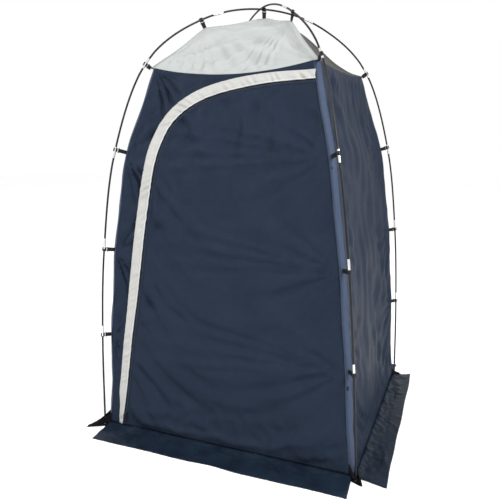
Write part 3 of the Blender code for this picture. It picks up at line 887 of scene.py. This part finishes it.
def run_simulation():
    """Lets all panels settle together, as slightly oversized cloth held at its seams, and keeps that."""
    if not CLOTH_PIECES:
        return
    scene = bpy.context.scene
    for obj, limits in CLOTH_PIECES:
        border = np.ones(limits.shape, bool)
        border[1:-1, 1:-1] = False
        group = obj.vertex_groups.new(name="seams")
        group.add(np.nonzero(border.reshape(-1))[0].tolist(), 1.0, "REPLACE")
        cloth = obj.modifiers.new("Cloth", "CLOTH")
        cloth.point_cache.frame_end = CLOTH_FRAMES + 1
        cloth.collision_settings.use_collision = False
        for key, value in CLOTH_SETTINGS.items():
            setattr(cloth.settings, key, value)
    for number in range(1, CLOTH_FRAMES + 1):
        scene.frame_set(number)
    graph = bpy.context.evaluated_depsgraph_get()
    for obj, limits in CLOTH_PIECES:
        before, after = np.empty((2, len(obj.data.vertices) * 3))
        obj.data.vertices.foreach_get("co", before)
        obj.evaluated_get(graph).data.vertices.foreach_get("co", after)
        move = (after - before).reshape(-1, 3)
        size = np.linalg.norm(move, axis=1, keepdims=True)
        limit = limits.reshape(-1, 1)
        move *= np.tanh(size / limit) * limit / np.maximum(size, 1e-9)
        obj.modifiers.remove(obj.modifiers["Cloth"])
        obj.vertex_groups.clear()
        obj.data.vertices.foreach_set("co", before + move.reshape(-1))
        obj.data.update()
    scene.frame_set(1)


# ---- walls and corner bands


def panel_counts(width, height):
    return max(8, round(height / CELL)), max(8, round(width / CELL))


def steps_from_end(count):
    return np.minimum(np.arange(count), np.arange(count)[::-1])


def corner_heading(corner):
    """The level direction that points out of the tent at a corner."""
    return np.array([*CORNERS[corner], 0.0]) / math.sqrt(2.0)


def build_wall(name, seams, left, right, seed, look):
    width = np.linalg.norm(seams.knots[left][0] - seams.knots[right][0])
    height = seams.top - seams.bottom
    rows, columns = panel_counts(width, height)
    across, rise = np.meshgrid(shares(columns), shares(rows))
    z = seams.bottom + rise * (sagged_top(seams, across, name.split("_")[0]) - seams.bottom)
    points, outward = wall_surface(seams, left, right, across, z)
    u = (across - 0.5) * np.linalg.norm(seams.at(*right, z) - seams.at(*left, z), axis=-1)
    folds = handling_folds(u, z, seed) + hanging_folds(u, z, seams.top, seed + 5, 0.0018)
    folds += clip_fans(u, z, seams.held[left[0]][1:], seed + 6)
    folds += ground_folds(u, z, seams.bottom, seed + 7)
    edge = np.minimum(np.minimum(across, 1.0 - across) * width, np.minimum(rise, 1.0 - rise) * height)
    points = points + outward * (folds * smoothstep(edge, 0.0, EDGE_FADE))[..., None]
    piece = grid_object(name + "_cloth", points, np.stack([u, z], axis=-1), look["wall"])
    simulate_later(piece, edge, CLOTH_CAP, CLOTH_FADE)
    finish_piece(piece, "tent", "wall_fabric", name)


def build_band(corner, seams, look):
    """The narrow band that turns a corner, its colour painted lighter as painted sheen for the light it
    faces, with a row of stitches down each side.
    """
    first, last = ("flank", "face") if corner in ("front_left", "rear_right") else ("face", "flank")
    z = np.linspace(seams.bottom, seams.top, 170)
    across = shares(9)
    start, stop = seams.at(corner, first, z), seams.at(corner, last, z)
    points = between(start, stop, across)
    outward = corner_heading(corner)
    u, v = np.meshgrid(across * BAND_WIDTH, z)
    bulge = BAND_BULGE * 4.0 * across * (1.0 - across)
    bulge = bulge + 0.0006 * field(u * 3.0, v, 0.10, 300 + TURN_ORDER.index(corner))
    points = points + outward * (bulge + 0.0008)[..., None]
    piece = grid_object(f"corner_band_{corner}", points, np.stack([u, v], axis=-1), look["band"])
    thicken(piece, 0.0007)
    finish_piece(piece, "tent", "wall_fabric")
    rows = [(points[:, column], np.tile(outward, (len(z), 1))) for column in (1, 7)]
    sew(f"corner_stitching_{corner}", rows, "wall_fabric", look["dark_thread"])


# ---- front: door, wall, zip and storm flap


def zip_line():
    """The line where the two halves of the zip meet, in front elevation from its foot to the right seam."""
    door_side, wall_side = node_points("zip_door_half"), node_points("zip_wall_half")
    gaps = np.linalg.norm(door_side[:, None, [0, 2]] - wall_side[None, :, [0, 2]], axis=2)
    meets = gaps.min(axis=1) < ZIP_MEETING
    pairs = (door_side[meets] + wall_side[gaps.argmin(axis=1)[meets]]) / 2.0
    turn = np.arctan2(pairs[:, 2] - ZIP_TURN_CENTRE[1], ZIP_TURN_CENTRE[0] - pairs[:, 0])
    path = pairs[np.argsort(turn)][:, [0, 2]]
    keep = [0]
    for index in range(1, len(path)):
        if np.linalg.norm(path[index] - path[keep[-1]]) > ZIP_STEP:
            keep.append(index)
    path = path[keep]
    return smoothed(resample(path, round(distances(path)[-1] / ZIP_STEP)), 6)


class Front:
    """The front face: its surface as a depth over the elevation, and the pieces' outlines in it."""

    def __init__(self, seams):
        self.seams = seams
        self.left, self.right = ("front_left", "face"), ("front_right", "face")
        self.path = zip_line()
        headings = np.gradient(self.path, axis=0)
        self.corner = int(np.argmax(headings[:, 0] > headings[:, 1]))

    def share(self, x, z):
        start, end = self.seams.at(*self.left, z), self.seams.at(*self.right, z)
        return (x - start[..., 0]) / (end[..., 0] - start[..., 0])

    def points(self, elevation, folds=0.0):
        x, z = elevation[..., 0], elevation[..., 1]
        points, outward = wall_surface(self.seams, self.left, self.right, self.share(x, z), z)
        points = points + outward * np.broadcast_to(folds, x.shape)[..., None]
        points[..., 0] = x
        return points

    def seam(self, side, z):
        return self.seams.at(*side, z)[..., [0, 2]]

    def zip_edge(self, offset):
        """The zip line moved sideways, split where it turns from its side run to its top run."""
        moved = beside(self.path, offset)
        return moved[: self.corner + 1], moved[self.corner :]

    def top_seam(self, across):
        z = sagged_top(self.seams, across, "front")
        start, end = self.seam(self.left, z), self.seam(self.right, z)
        return np.column_stack([start[:, 0] + (end[:, 0] - start[:, 0]) * across, z])


def coons(left, right, bottom, top, rows, columns):
    """A plane patch filled in between four border lines that share their corners."""
    left, right = resample(left, rows), resample(right, rows)
    bottom, top = resample(bottom, columns), resample(top, columns)
    s = shares(columns)[None, :, None]
    t = shares(rows)[:, None, None]
    ruled = (1 - s) * left[:, None] + s * right[:, None] + (1 - t) * bottom[None] + t * top[None]
    corners = (1 - s) * (1 - t) * left[0] + s * (1 - t) * right[0]
    return ruled - (corners + (1 - s) * t * left[-1] + s * t * right[-1])


def front_folds(elevation, seams, seed):
    """Folds of the front face: short fans and tension folds at left, long level ones at right."""
    u, v = elevation[..., 0], elevation[..., 1]
    folds = handling_folds(u, v, seed) + ground_folds(u, v, seams.bottom, seed + 7, 0.0034)
    for corner, fans in FRONT_FANS.items():
        for height in seams.held[corner][1:]:
            place = (float(seams.at(corner, "face", np.array([height]))[0, 0]), height)
            for settings in fans:
                folds = folds + fan(u, v, place, *settings, phase=height * 9.0)
    return folds


def blend_door(piece):
    """Reads the door's swing axis and bakes the piece's place into its mesh; the piece is not bent."""
    axis = Vector(joint_named("door_swing")["axis"]).normalized()
    inward = axis.cross(Vector((0.0, -1.0, 0.0))).normalized()
    if inward.x > 0:
        inward = -inward
    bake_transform(piece)


def build_door(front, look):
    seams = front.seams
    side, top = front.zip_edge(-(ZIP_HALF + ZIP_GAP))
    side = np.vstack([[side[0][0], seams.bottom], side[1:]])
    end_z = top[-1][1]
    right = front.seam(front.right, np.linspace(seams.bottom, end_z, 60))
    right[:, 0] -= SEAM_CLEARANCE
    top = np.vstack([top[:-1], right[-1]])
    bottom = np.array([side[0], right[0]])
    rows, columns = panel_counts(right[0][0] - side[0][0], end_z)
    elevation = coons(side, right, bottom, top, rows, columns)
    folds = front_folds(elevation, seams, 11)
    folds = folds + hanging_folds(elevation[..., 0], elevation[..., 1], end_z - 0.02, 15, 0.0042)
    edge = np.minimum.outer(steps_from_end(rows), steps_from_end(columns)) * CELL
    folds = folds * smoothstep(edge, 0.0, EDGE_FADE)
    door = grid_object("door_cloth", front.points(elevation, folds), elevation, look["wall"])
    simulate_later(door, edge, CLOTH_CAP, CLOTH_FADE)
    return door


def build_front_wall(front, look):
    seams = front.seams
    side, top = front.zip_edge(ZIP_HALF + ZIP_GAP)
    side = np.vstack([[side[0][0], seams.bottom], side[1:]])
    rows_side, rows_top = round(FRONT_RUNS[0] / CELL), round(FRONT_RUNS[1] / CELL)
    outer_side = front.seam(front.left, np.linspace(seams.bottom, seams.top, rows_side))
    outer_top = front.top_seam(shares(rows_top))
    end_x = outer_top[-1][0] - SEAM_CLEARANCE + (top[-1][1] - seams.top) * SEAM_LEAN
    top = np.vstack([top[:-1], [end_x, top[-1][1]]])
    inner = np.vstack([resample(side, rows_side), resample(top, rows_top)[1:]])
    outer = np.vstack([outer_side, outer_top[1:]])
    share = shares(FRONT_COLUMNS)
    elevation = between(outer, inner, share)
    width = np.linalg.norm(inner - outer, axis=1)[:, None]
    from_outer, from_zip = width * share, width * (1.0 - share)
    folds = front_folds(elevation, seams, 31)
    folds *= smoothstep(from_outer, 0.0, 0.02) * smoothstep(from_zip, 0.050, 0.090)
    wall = grid_object("front_wall_cloth", front.points(elevation, folds), elevation, look["wall"])
    simulate_later(wall, np.minimum(from_outer, from_zip - 0.045), FRONT_CAP, 0.05)
    finish_piece(wall, "tent", "wall_fabric", "front_wall")


def ribbon(front, name, offsets, lifts, material):
    """A strip along the zip line, at sideways offsets (one or one per point) and lifts, outermost first."""
    shifts = [np.broadcast_to(offset, len(front.path)) for offset in offsets]
    rows = [front.points(beside(front.path, shift), lift) for shift, lift in zip(shifts, lifts)]
    points = np.stack(rows[::-1], axis=1)
    along = np.broadcast_to(distances(front.path)[:, None], points.shape[:2])
    uv = np.stack([np.stack(shifts[::-1], axis=1), along], axis=-1)
    return grid_object(name, points, uv, material), points


def build_zip(front, look):
    """Zip tape and coil teeth, one half on the front wall and one on the door."""
    halves = {}
    along = distances(front.path)
    for name, sign, first in (("zip_wall_half", 1.0, 1.0), ("zip_door_half", -1.0, 1.5)):
        offsets = np.sort(sign * np.array([ZIP_GAP, ZIP_HALF / 2.0, ZIP_HALF]))
        tape, _ = ribbon(front, name + "_tape", offsets, np.full(3, 0.0002), look["tape"])
        thicken(tape, 0.0006)
        places = np.arange(TOOTH_PITCH * first, along[-1] - 0.004, TOOTH_PITCH)
        elevation = sampled(beside(front.path, sign * TOOTH[0] * 0.45), along, places)
        heading = sampled(np.gradient(front.path, axis=0), along, places)
        forward = np.column_stack([heading[:, 0], np.zeros(len(heading)), heading[:, 1]])
        outward = np.tile((0.0, -1.0, 0.0), (len(places), 1))
        size = (TOOTH[1], TOOTH[0], TOOTH[2])
        points, faces = boxes(front.points(elevation, 0.0010), unit(forward), outward, size)
        halves[name] = (tape, mesh_object(name + "_teeth", points, faces, [look["teeth"]]))
    return halves


def build_flap(front, look):
    """The pale storm flap over the zip's wall side, with its hem, puckers and two rows of stitches."""
    along = distances(front.path)
    width = np.interp(along, FLAP_PLACES, FLAP_WIDTHS)
    loose = 1.0 - smoothstep(along, 0.05, 0.30)
    width = smoothed(width[:, None], 30)[:, 0] + 0.0030 * loose * np.sin(along * 45.0)
    bend = smoothstep(along, 0.75, 1.15) * (1.0 - 0.75 * smoothstep(along, 1.95, 2.3))
    steps = shares(11)
    level = 0.0 * along
    size = (0.45 + 0.55 * bend) * FLAP_PUCKER
    lifts = []
    for share in steps:
        slant = along + share * width * 0.7
        pucker = np.sin(2.0 * math.pi * slant / FLAP_PUCKER_PITCH + 2.2 * field(along, level, 0.30, 72))
        pucker = size * pucker * (0.55 + 0.45 * field(along, level, 0.12, 73))
        ripple = 0.0015 * field(along, np.full_like(along, share * 0.03), 0.05, 71)
        inner = math.sin(math.pi * min(share * 0.8 + 0.12, 1.0))
        lift = FLAP_LIFT + 0.0022 * 4.0 * share * (1.0 - share) + (pucker + ripple) * inner
        lifts.append(np.maximum(lift, 0.0024))
    offsets = [FLAP_NEAR + share * width for share in steps]
    flap, points = ribbon(front, "storm_flap_cloth", offsets, lifts, look["flap"])
    thicken(flap, 0.0010)
    finish_piece(flap, "tent", "storm_flap", "storm_flap")
    normals = grid_normals(points)
    edge, inner, step = points[:, -1], points[:, -2], normals[:, -1]
    reach = (FLAP_HEM / np.linalg.norm(inner - edge, axis=1))[:, None]
    hem_points = np.stack([
        edge + (inner - edge) * reach + step * 0.0006,
        edge + (inner - edge) * reach * 0.5 + step * 0.0014,
        edge + step * 0.0005,
    ], axis=1)
    hem_uv = np.stack(np.broadcast_arrays([FLAP_HEM, FLAP_HEM / 2.0, 0.0], along[:, None]), axis=-1)
    # The hem's material is painted brighter than the flap's: a painted highlight on its raised edge.
    hem = thicken(grid_object("storm_flap_hem", hem_points, hem_uv, look["hem"]), 0.0005)
    finish_piece(hem, "tent", "storm_flap")
    rows = [(points[:, n] + normals[:, n] * lift, normals[:, n]) for n, lift in FLAP_STITCH_ROWS]
    thread = sew("storm_flap_stitching", rows, "storm_flap", look["thread"])


# ---- roof


def roof_corners():
    """Shoulder, hip and top points of the roof at each corner, from the four roof nodes."""
    shoulder, hip, top = {}, {}, {}
    points = np.vstack([node_points(name) for name in ROOF_PANELS])
    groups = split_where(points[:, 2], points, ROOF_LEVEL_GAP)
    low, high, apex = groups[0], np.vstack(groups[1:-1]), groups[-1]
    for corner, (side, end) in CORNERS.items():
        shoulder[corner] = low[np.argmax(low[:, 0] * side + low[:, 1] * end)]
        hip[corner] = high[np.argmax(high[:, 0] * side + high[:, 1] * end)]
        top[corner] = np.array([side * CAP_HALF, end * CAP_HALF, apex[:, 2].max() - 0.004])
    return shoulder, hip, top


def hip_line(corner, corners, rise):
    """A roof edge from shoulder to top: over the hip clip at the front, a slack curve at the rear."""
    knots = np.array([table[corner] for table in corners])
    spans = distances(knots)
    where = rise * spans[-1]
    if "clip_hip_" + corner not in frame["nodes"]:
        line = through(spans, knots, where)
        line[:, 2] += np.interp(rise, REAR_EDGE_RISES, REAR_EDGE_LIFTS)
        return smoothed(line, 12)
    share = np.interp(where, spans, [0.0, 1.0, 2.0])
    pull = HIP_SCALLOP * np.sin(math.pi * share) ** 2
    return sampled(knots, spans, where) - pull[:, None] * unit(np.array([*CORNERS[corner], 1.6]))


def roof_folds(u, v, pale, held, seed):
    """Folds of a roof panel: soft drift, and long straight ones that spread from the clips at its sides."""
    folds = 0.0026 * field(u, v, 0.32, seed) + 0.0007 * field(u, v, 0.10, seed + 1)
    folds += 0.0006 * creases(u, v, 0.14, seed + 2)
    size = (1.0 if pale else 0.4) * (0.85 + 0.15 * field(u, v, 0.40, seed + 3))
    for number, (place, kind) in enumerate(held):
        for right, left, *settings in ROOF_FANS[kind]:
            heading = right if place[0] > 0 else left
            folds += size * fan(u, v, place, heading, *settings, phase=0.7 + 1.9 * number)
    return folds


def build_roof_panel(name, first, last, corners, seed, look):
    pale = name in ("roof_front", "roof_back")
    rise, across = shares(ROOF_CELLS[0]), shares(ROOF_CELLS[1])
    start, end = hip_line(first, corners, rise), hip_line(last, corners, rise)
    points = between(start, end, across)
    outward = grid_normals(points)
    hollow = 4.0 * across * (1.0 - across)
    fade = 1.0 - smoothstep(rise, 0.0, 0.55)
    points[..., 2] -= SEAM_SAG[name.split("_")[1]] * np.outer(fade, hollow)
    towards = unit(((start[0] + end[0]) / 2.0)[:2])
    points[..., :2] -= towards * (ROOF_SEAM_INSET * np.outer(fade**2, hollow))[..., None]
    width = np.linalg.norm(end - start, axis=1)
    slope = distances((start + end) / 2.0)
    u = np.outer(width, across - 0.5)
    v = np.broadcast_to(slope[:, None], u.shape)
    held = []
    for corner, side in ((first, -0.5), (last, 0.5)):
        held.append(((side * width[0], 0.0), "shoulder"))
        if "clip_hip_" + corner in frame["nodes"]:
            spans = distances(np.array([table[corner] for table in corners]))
            level = spans[1] / spans[-1]
            held.append(((side * np.interp(level, rise, width), np.interp(level, rise, slope)), "hip"))
    dent = (ROOF_DENT if pale else NET_DENT) * np.outer(np.sin(math.pi * rise), hollow)
    from_sides = np.outer(width, np.minimum(across, 1.0 - across))
    edge = np.minimum(from_sides, np.minimum(slope, slope[-1] - slope)[:, None])
    folds = roof_folds(u, v, pale, held, seed) - dent
    points = points + outward * (folds * smoothstep(edge, 0.0, 0.035))[..., None]
    piece = grid_object(name + "_cloth", points, np.stack([u, v], axis=-1), look["roof" if pale else "net"])
    simulate_later(piece, edge, ROOF_CAP, 0.06)
    finish_piece(piece, "tent", "roof_fabric" if pale else "roof_mesh", name)
    return points[0], start


def build_roof(look):
    corners = roof_corners()
    for number, name in enumerate(ROOF_PANELS):
        first, last = TURN_ORDER[number], TURN_ORDER[(number + 1) % 4]
        foot, hip = build_roof_panel(name, first, last, corners, 101 + 20 * number, look)
        cord = tube_object(name + "_seam_cord", foot - (0.0, 0.0, 0.0015), 0.0017, 8, look["wall"])
        finish_piece(cord, "tent", "wall_fabric")
        finish = "flap" if first.startswith("front") else "webbing"
        binding = tube_object(f"roof_edge_{first}", hip, 0.0016, 8, look[finish])
        finish_piece(binding, "tent", "roof_fabric")
    build_roof_cap(corners[2], look)


def build_roof_cap(top, look):
    """The small doubled patch that closes the roof under the crossing of the poles."""
    half = CAP_HALF + 0.004
    height = max(point[2] for point in top.values())
    x, y = np.meshgrid(np.linspace(-half, half, 17), np.linspace(-half, half, 17))
    dome = 0.003 * (1.0 - np.maximum(np.abs(x), np.abs(y)) / half)
    points = np.stack([x, y, height + dome + 0.0006], axis=-1)
    cap = thicken(grid_object("roof_cap", points, np.stack([x, y], axis=-1), look["flap"]), 0.0012)
    finish_piece(cap, "tent", "roof_fabric")
    ring = np.vstack([points[2, 2:-2], points[2:-2, -3], points[-3, 2:-2][::-1], points[2:-2, 2][::-1]])
    rows = [(ring, np.tile((0.0, 0.0, 1.0), (len(ring), 1)))]
    sew("roof_cap_stitching", rows, "roof_fabric", look["thread"])


# ---- skirts


SKIRT_ROOT_RISE = 0.0105
SKIRT_TUCK = 0.0030
SKIRT_FILM = 0.0006
SKIRT_ROOT_BAND = 0.002
SKIRT_OUTER_BAND = 0.02
SKIRT_LOW = 0.0022
SKIRT_CELL = 0.011
SKIRT_ROWS = 26
SKIRT_PAST_CORNER = {"front": 0.020}


def skirt_outline(side):
    """(two root corners, two outer corners) of a CAD skirt on the ground, left to right from outside."""
    joint = joint_named(f"skirt_{side}_lift")
    hinge, axis = np.array(joint["pos_m"])[:2], unit(np.array(joint["axis"])[:2])
    points = node_points(f"skirt_{side}")[:, :2]
    off = np.abs((points - hinge) @ np.array([-axis[1], axis[0]]))
    run = (points - hinge) @ -axis
    root, outer = off < SKIRT_ROOT_BAND, off > SKIRT_OUTER_BAND
    pick = lambda mask, best: points[mask][best(run[mask])]
    return pick(root, np.argmin), pick(root, np.argmax), pick(outer, np.argmin), pick(outer, np.argmax)


def build_skirt(side, seed, look):
    """A crumpled ground skirt, sewn to the wall along its root and loose outside."""
    root_left, root_right, outer_left, outer_right = skirt_outline(side)
    along = unit(root_right - root_left)
    past = SKIRT_PAST_CORNER.get(side, 0.0)
    root_right, outer_right = root_right + along * past, outer_right + along * past * 0.6
    length = np.linalg.norm(root_right - root_left)
    columns = round(length / SKIRT_CELL)
    across, out = np.meshgrid(shares(columns), shares(SKIRT_ROWS))
    near = root_left + (root_right - root_left) * across[..., None]
    far = outer_left + (outer_right - outer_left) * across[..., None]
    plan = near + (far - near) * out[..., None]
    outward = np.array([along[1], -along[0]])
    outward = outward * np.sign(outward @ (outer_left - root_left))
    width = np.linalg.norm(far - near, axis=-1)
    u, v = across * length, out * width
    plan = plan - outward * (0.0015 * (1.0 + field(u, v * 0.0, 0.24, seed + 9)) * out**4)[..., None]
    crumple = 0.0046 * creases(u, v, 0.15, seed) + 0.0024 * creases(u, v, 0.060, seed + 1)
    crumple += 0.0020 * field(u * 1.6, v * 0.5, 0.11, seed + 2) + 0.0009 * creases(u, v, 0.026, seed + 5)
    middling = 0.25 + 0.75 * np.sin(math.pi * np.clip(out * 0.9 + 0.08, 0.0, 1.0))
    crumple *= middling * smoothstep(field(u, v, 0.30, seed + 3), -1.6, 1.0)
    puckers = 0.0062 * np.exp(-v / 0.030) * np.abs(field(u, v * 0.5, 0.030, seed + 4))
    plan = plan - outward * (SKIRT_TUCK * np.exp(-v / 0.004))[..., None]
    root = SKIRT_ROOT_RISE * np.exp(-v / 0.014)
    z = SKIRT_LOW + root + np.maximum(crumple, 0.0) + puckers * smoothstep(v, 0.0, 0.01)
    z[-1] = np.minimum(z[-1], 0.004)
    points = np.concatenate([plan, z[..., None]], axis=-1)[::-1]
    uv = np.stack([u, v], axis=-1)[::-1]
    piece = thicken(grid_object(f"skirt_{side}_film", points, uv, look["skirt"]), SKIRT_FILM)
    finish_piece(piece, None, "skirt", f"skirt_{side}")
    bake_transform(piece)


# ---- feet and tie-backs

EYELET_RADIUS = 0.0066

def build_foot(corner, line_end, seams, look):
    """A webbing tab on the ground with its eyelet, and the two black webs that pocket the pole's tip."""
    outward = corner_heading(corner)
    across = np.cross((0.0, 0.0, 1.0), outward)
    flat = (node_points("foot_" + corner) - [*line_end[:2], 0.0]) @ np.column_stack([outward, across])
    tip, heel = flat[:, 0].max(), flat[:, 0].min()
    run = np.linspace(heel, tip - 0.001, 22)[:, None]
    half = np.abs(flat[:, 1]).max() * np.clip((tip + 0.004 - run) / (tip - heel), 0.0, 1.0) ** 0.85
    spread = np.linspace(-1.0, 1.0, 15)
    aside = half * spread
    place = line_end[:2] + run[..., None] * outward[:2] + aside[..., None] * across[:2]
    height = 0.0026 + 0.0009 * field(run, aside, 0.05, 400) * (1.0 - np.abs(spread))
    grid = np.concatenate([place, np.abs(height)[..., None]], axis=-1)
    uv = np.stack(np.broadcast_arrays(run, aside), axis=-1)
    tab = thicken(grid_object(f"foot_{corner}_tab", grid[:, ::-1], uv, look["foot"]), 0.0018)
    finish_piece(tab, "tent", "foot", "foot_" + corner)
    turns = np.linspace(0, 2 * math.pi, 25)[:, None]
    circle = line_end[:2] + EYELET_RADIUS * (np.cos(turns) * outward[:2] + np.sin(turns) * across[:2])
    circle = np.column_stack([circle, np.full(len(circle), 0.0036)])
    ring_points, ring_faces = tube_parts(circle, 0.0013, 8)
    ring = mesh_object(f"foot_{corner}_eyelet", ring_points, ring_faces, [look["eyelet"]])
    finish_piece(ring, "tent", "foot")
    nose = np.append(line_end[:2] + outward[:2] * (tip - 0.006), 0.004)
    rise, share = shares(9), shares(16)
    hollow = np.sin(math.pi * share)[None, :]
    parts = []
    for edge in ("face", "flank"):
        wall = seams.at(corner, edge, seams.bottom + 0.052 * rise - 0.004) + outward * 0.0012
        nose_line = nose + np.outer(rise, (0.0, 0.0, 0.006))
        web = between(wall, nose_line, share)
        web[..., 2] -= rise[:, None] * 0.010 * hollow
        sway = 0.0025 * hollow * field(share[None, :], rise[:, None], 0.8, 410)
        parts.append(((web + across * sway[..., None]).reshape(-1, 3), grid_faces(9, 16), 0))
    points, faces, _ = joined(parts)
    pocket = mesh_object(f"foot_{corner}_pocket", points, faces, [look["foot"]], points[:, [0, 2]])
    finish_piece(thicken(pocket, 0.0012), "tent", "foot")


def build_tie_back(name, look):
    """An elastic loop with a bound end, lying across the corner band."""
    points = node_points(name)
    origin = np.array(joint_named(name + "_swing")["pos_m"])
    centre = points.mean(axis=0)
    across = unit((centre - origin) * (1.0, 1.0, 0.0))
    run = (points - origin) @ across
    thick = np.ptp((points - centre) @ np.cross((0.0, 0.0, 1.0), across)) / 2.0
    rise = np.ptp(points[:, 2]) / 2.0 - thick
    near, far = run.min() + thick + rise, run.max() - thick - rise
    turn = np.radians(np.concatenate([np.linspace(90.0, 270.0, 13), np.linspace(-90.0, 90.0, 13)]))
    reach = np.repeat([near, far], 13) + rise * np.cos(turn)
    ring = origin + np.outer(reach, across) + np.outer(rise * np.sin(turn), (0.0, 0.0, 1.0))
    ring = resample(np.vstack([ring, ring[:1]]), 60)
    finish_piece(tube_object(name + "_elastic", ring, thick, 10, look["elastic"]), name, "tie_back", name)
    centre = origin + across * (near - rise + 0.004)
    out = np.cross(across, (0.0, 0.0, 1.0))
    points, faces = boxes(centre[None], across[None], out[None], (0.007, rise * 2.0 + 0.004, 0.0040))
    knot = mesh_object(name + "_binding", points, faces, [look["webbing"]], points[:, [0, 2]])
    soften_edges(knot, 0.0009)
    finish_piece(knot, name, "tie_back")


def finish_cad_nodes(look):
    """The slider and puller keep their CAD shape, with softened edges and a finish."""
    for name, finish in (("zip_slider", "slider"), ("zip_puller", "plastic")):
        node = frame["nodes"][name]
        node.data.materials.clear()
        node.data.materials.append(look[finish])
        soften_edges(node, 0.0003).limit_method = "ANGLE"


def finish_door(door):
    """Bakes the door's place into its mesh and hides the CAD door that it stands for."""
    blend_door(door)
    finish_piece(door, None, "wall_fabric", "door")


def finish_zip(halves):
    """Puts the zip's wall half on the tent, and bakes the place of its door half into its mesh without
    bending it.
    """
    for name, (tape, teeth) in halves.items():
        for piece in (tape, teeth):
            if name == "zip_door_half":
                blend_door(piece)
            else:
                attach(piece, "tent")
        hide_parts(name)


# ---- all together


def build_all():
    make_camera()
    make_studio()
    look = make_materials()
    lines = {}
    for pole, first, last in POLES:
        lines[first] = lines[last] = pole_line(pole, first)
        build_pole(pole, lines[first], look)
    seams = Seams(build_clips(lines, look))
    for number, (name, edge) in enumerate(WALLS):
        left, right = TURN_ORDER[number + 1], TURN_ORDER[(number + 2) % 4]
        build_wall(name, seams, (left, edge), (right, edge), 201 + 20 * number, look)
    for corner in TURN_ORDER:
        build_band(corner, seams, look)
    front = Front(seams)
    door = build_door(front, look)
    build_front_wall(front, look)
    build_roof(look)
    halves = build_zip(front, look)
    build_flap(front, look)
    run_simulation()
    for obj, _ in CLOTH_PIECES:
        thicken(obj)
    finish_door(door)
    finish_zip(halves)
    for number, side in enumerate(("front", "right", "back", "left")):
        build_skirt(side, 500 + 20 * number, look)
    for corner in TURN_ORDER:
        build_foot(corner, lines[corner][0 if corner.startswith("front") else -1], seams, look)
    for name in ("tie_back_upper", "tie_back_lower"):
        build_tie_back(name, look)
    finish_cad_nodes(look)


build_all()
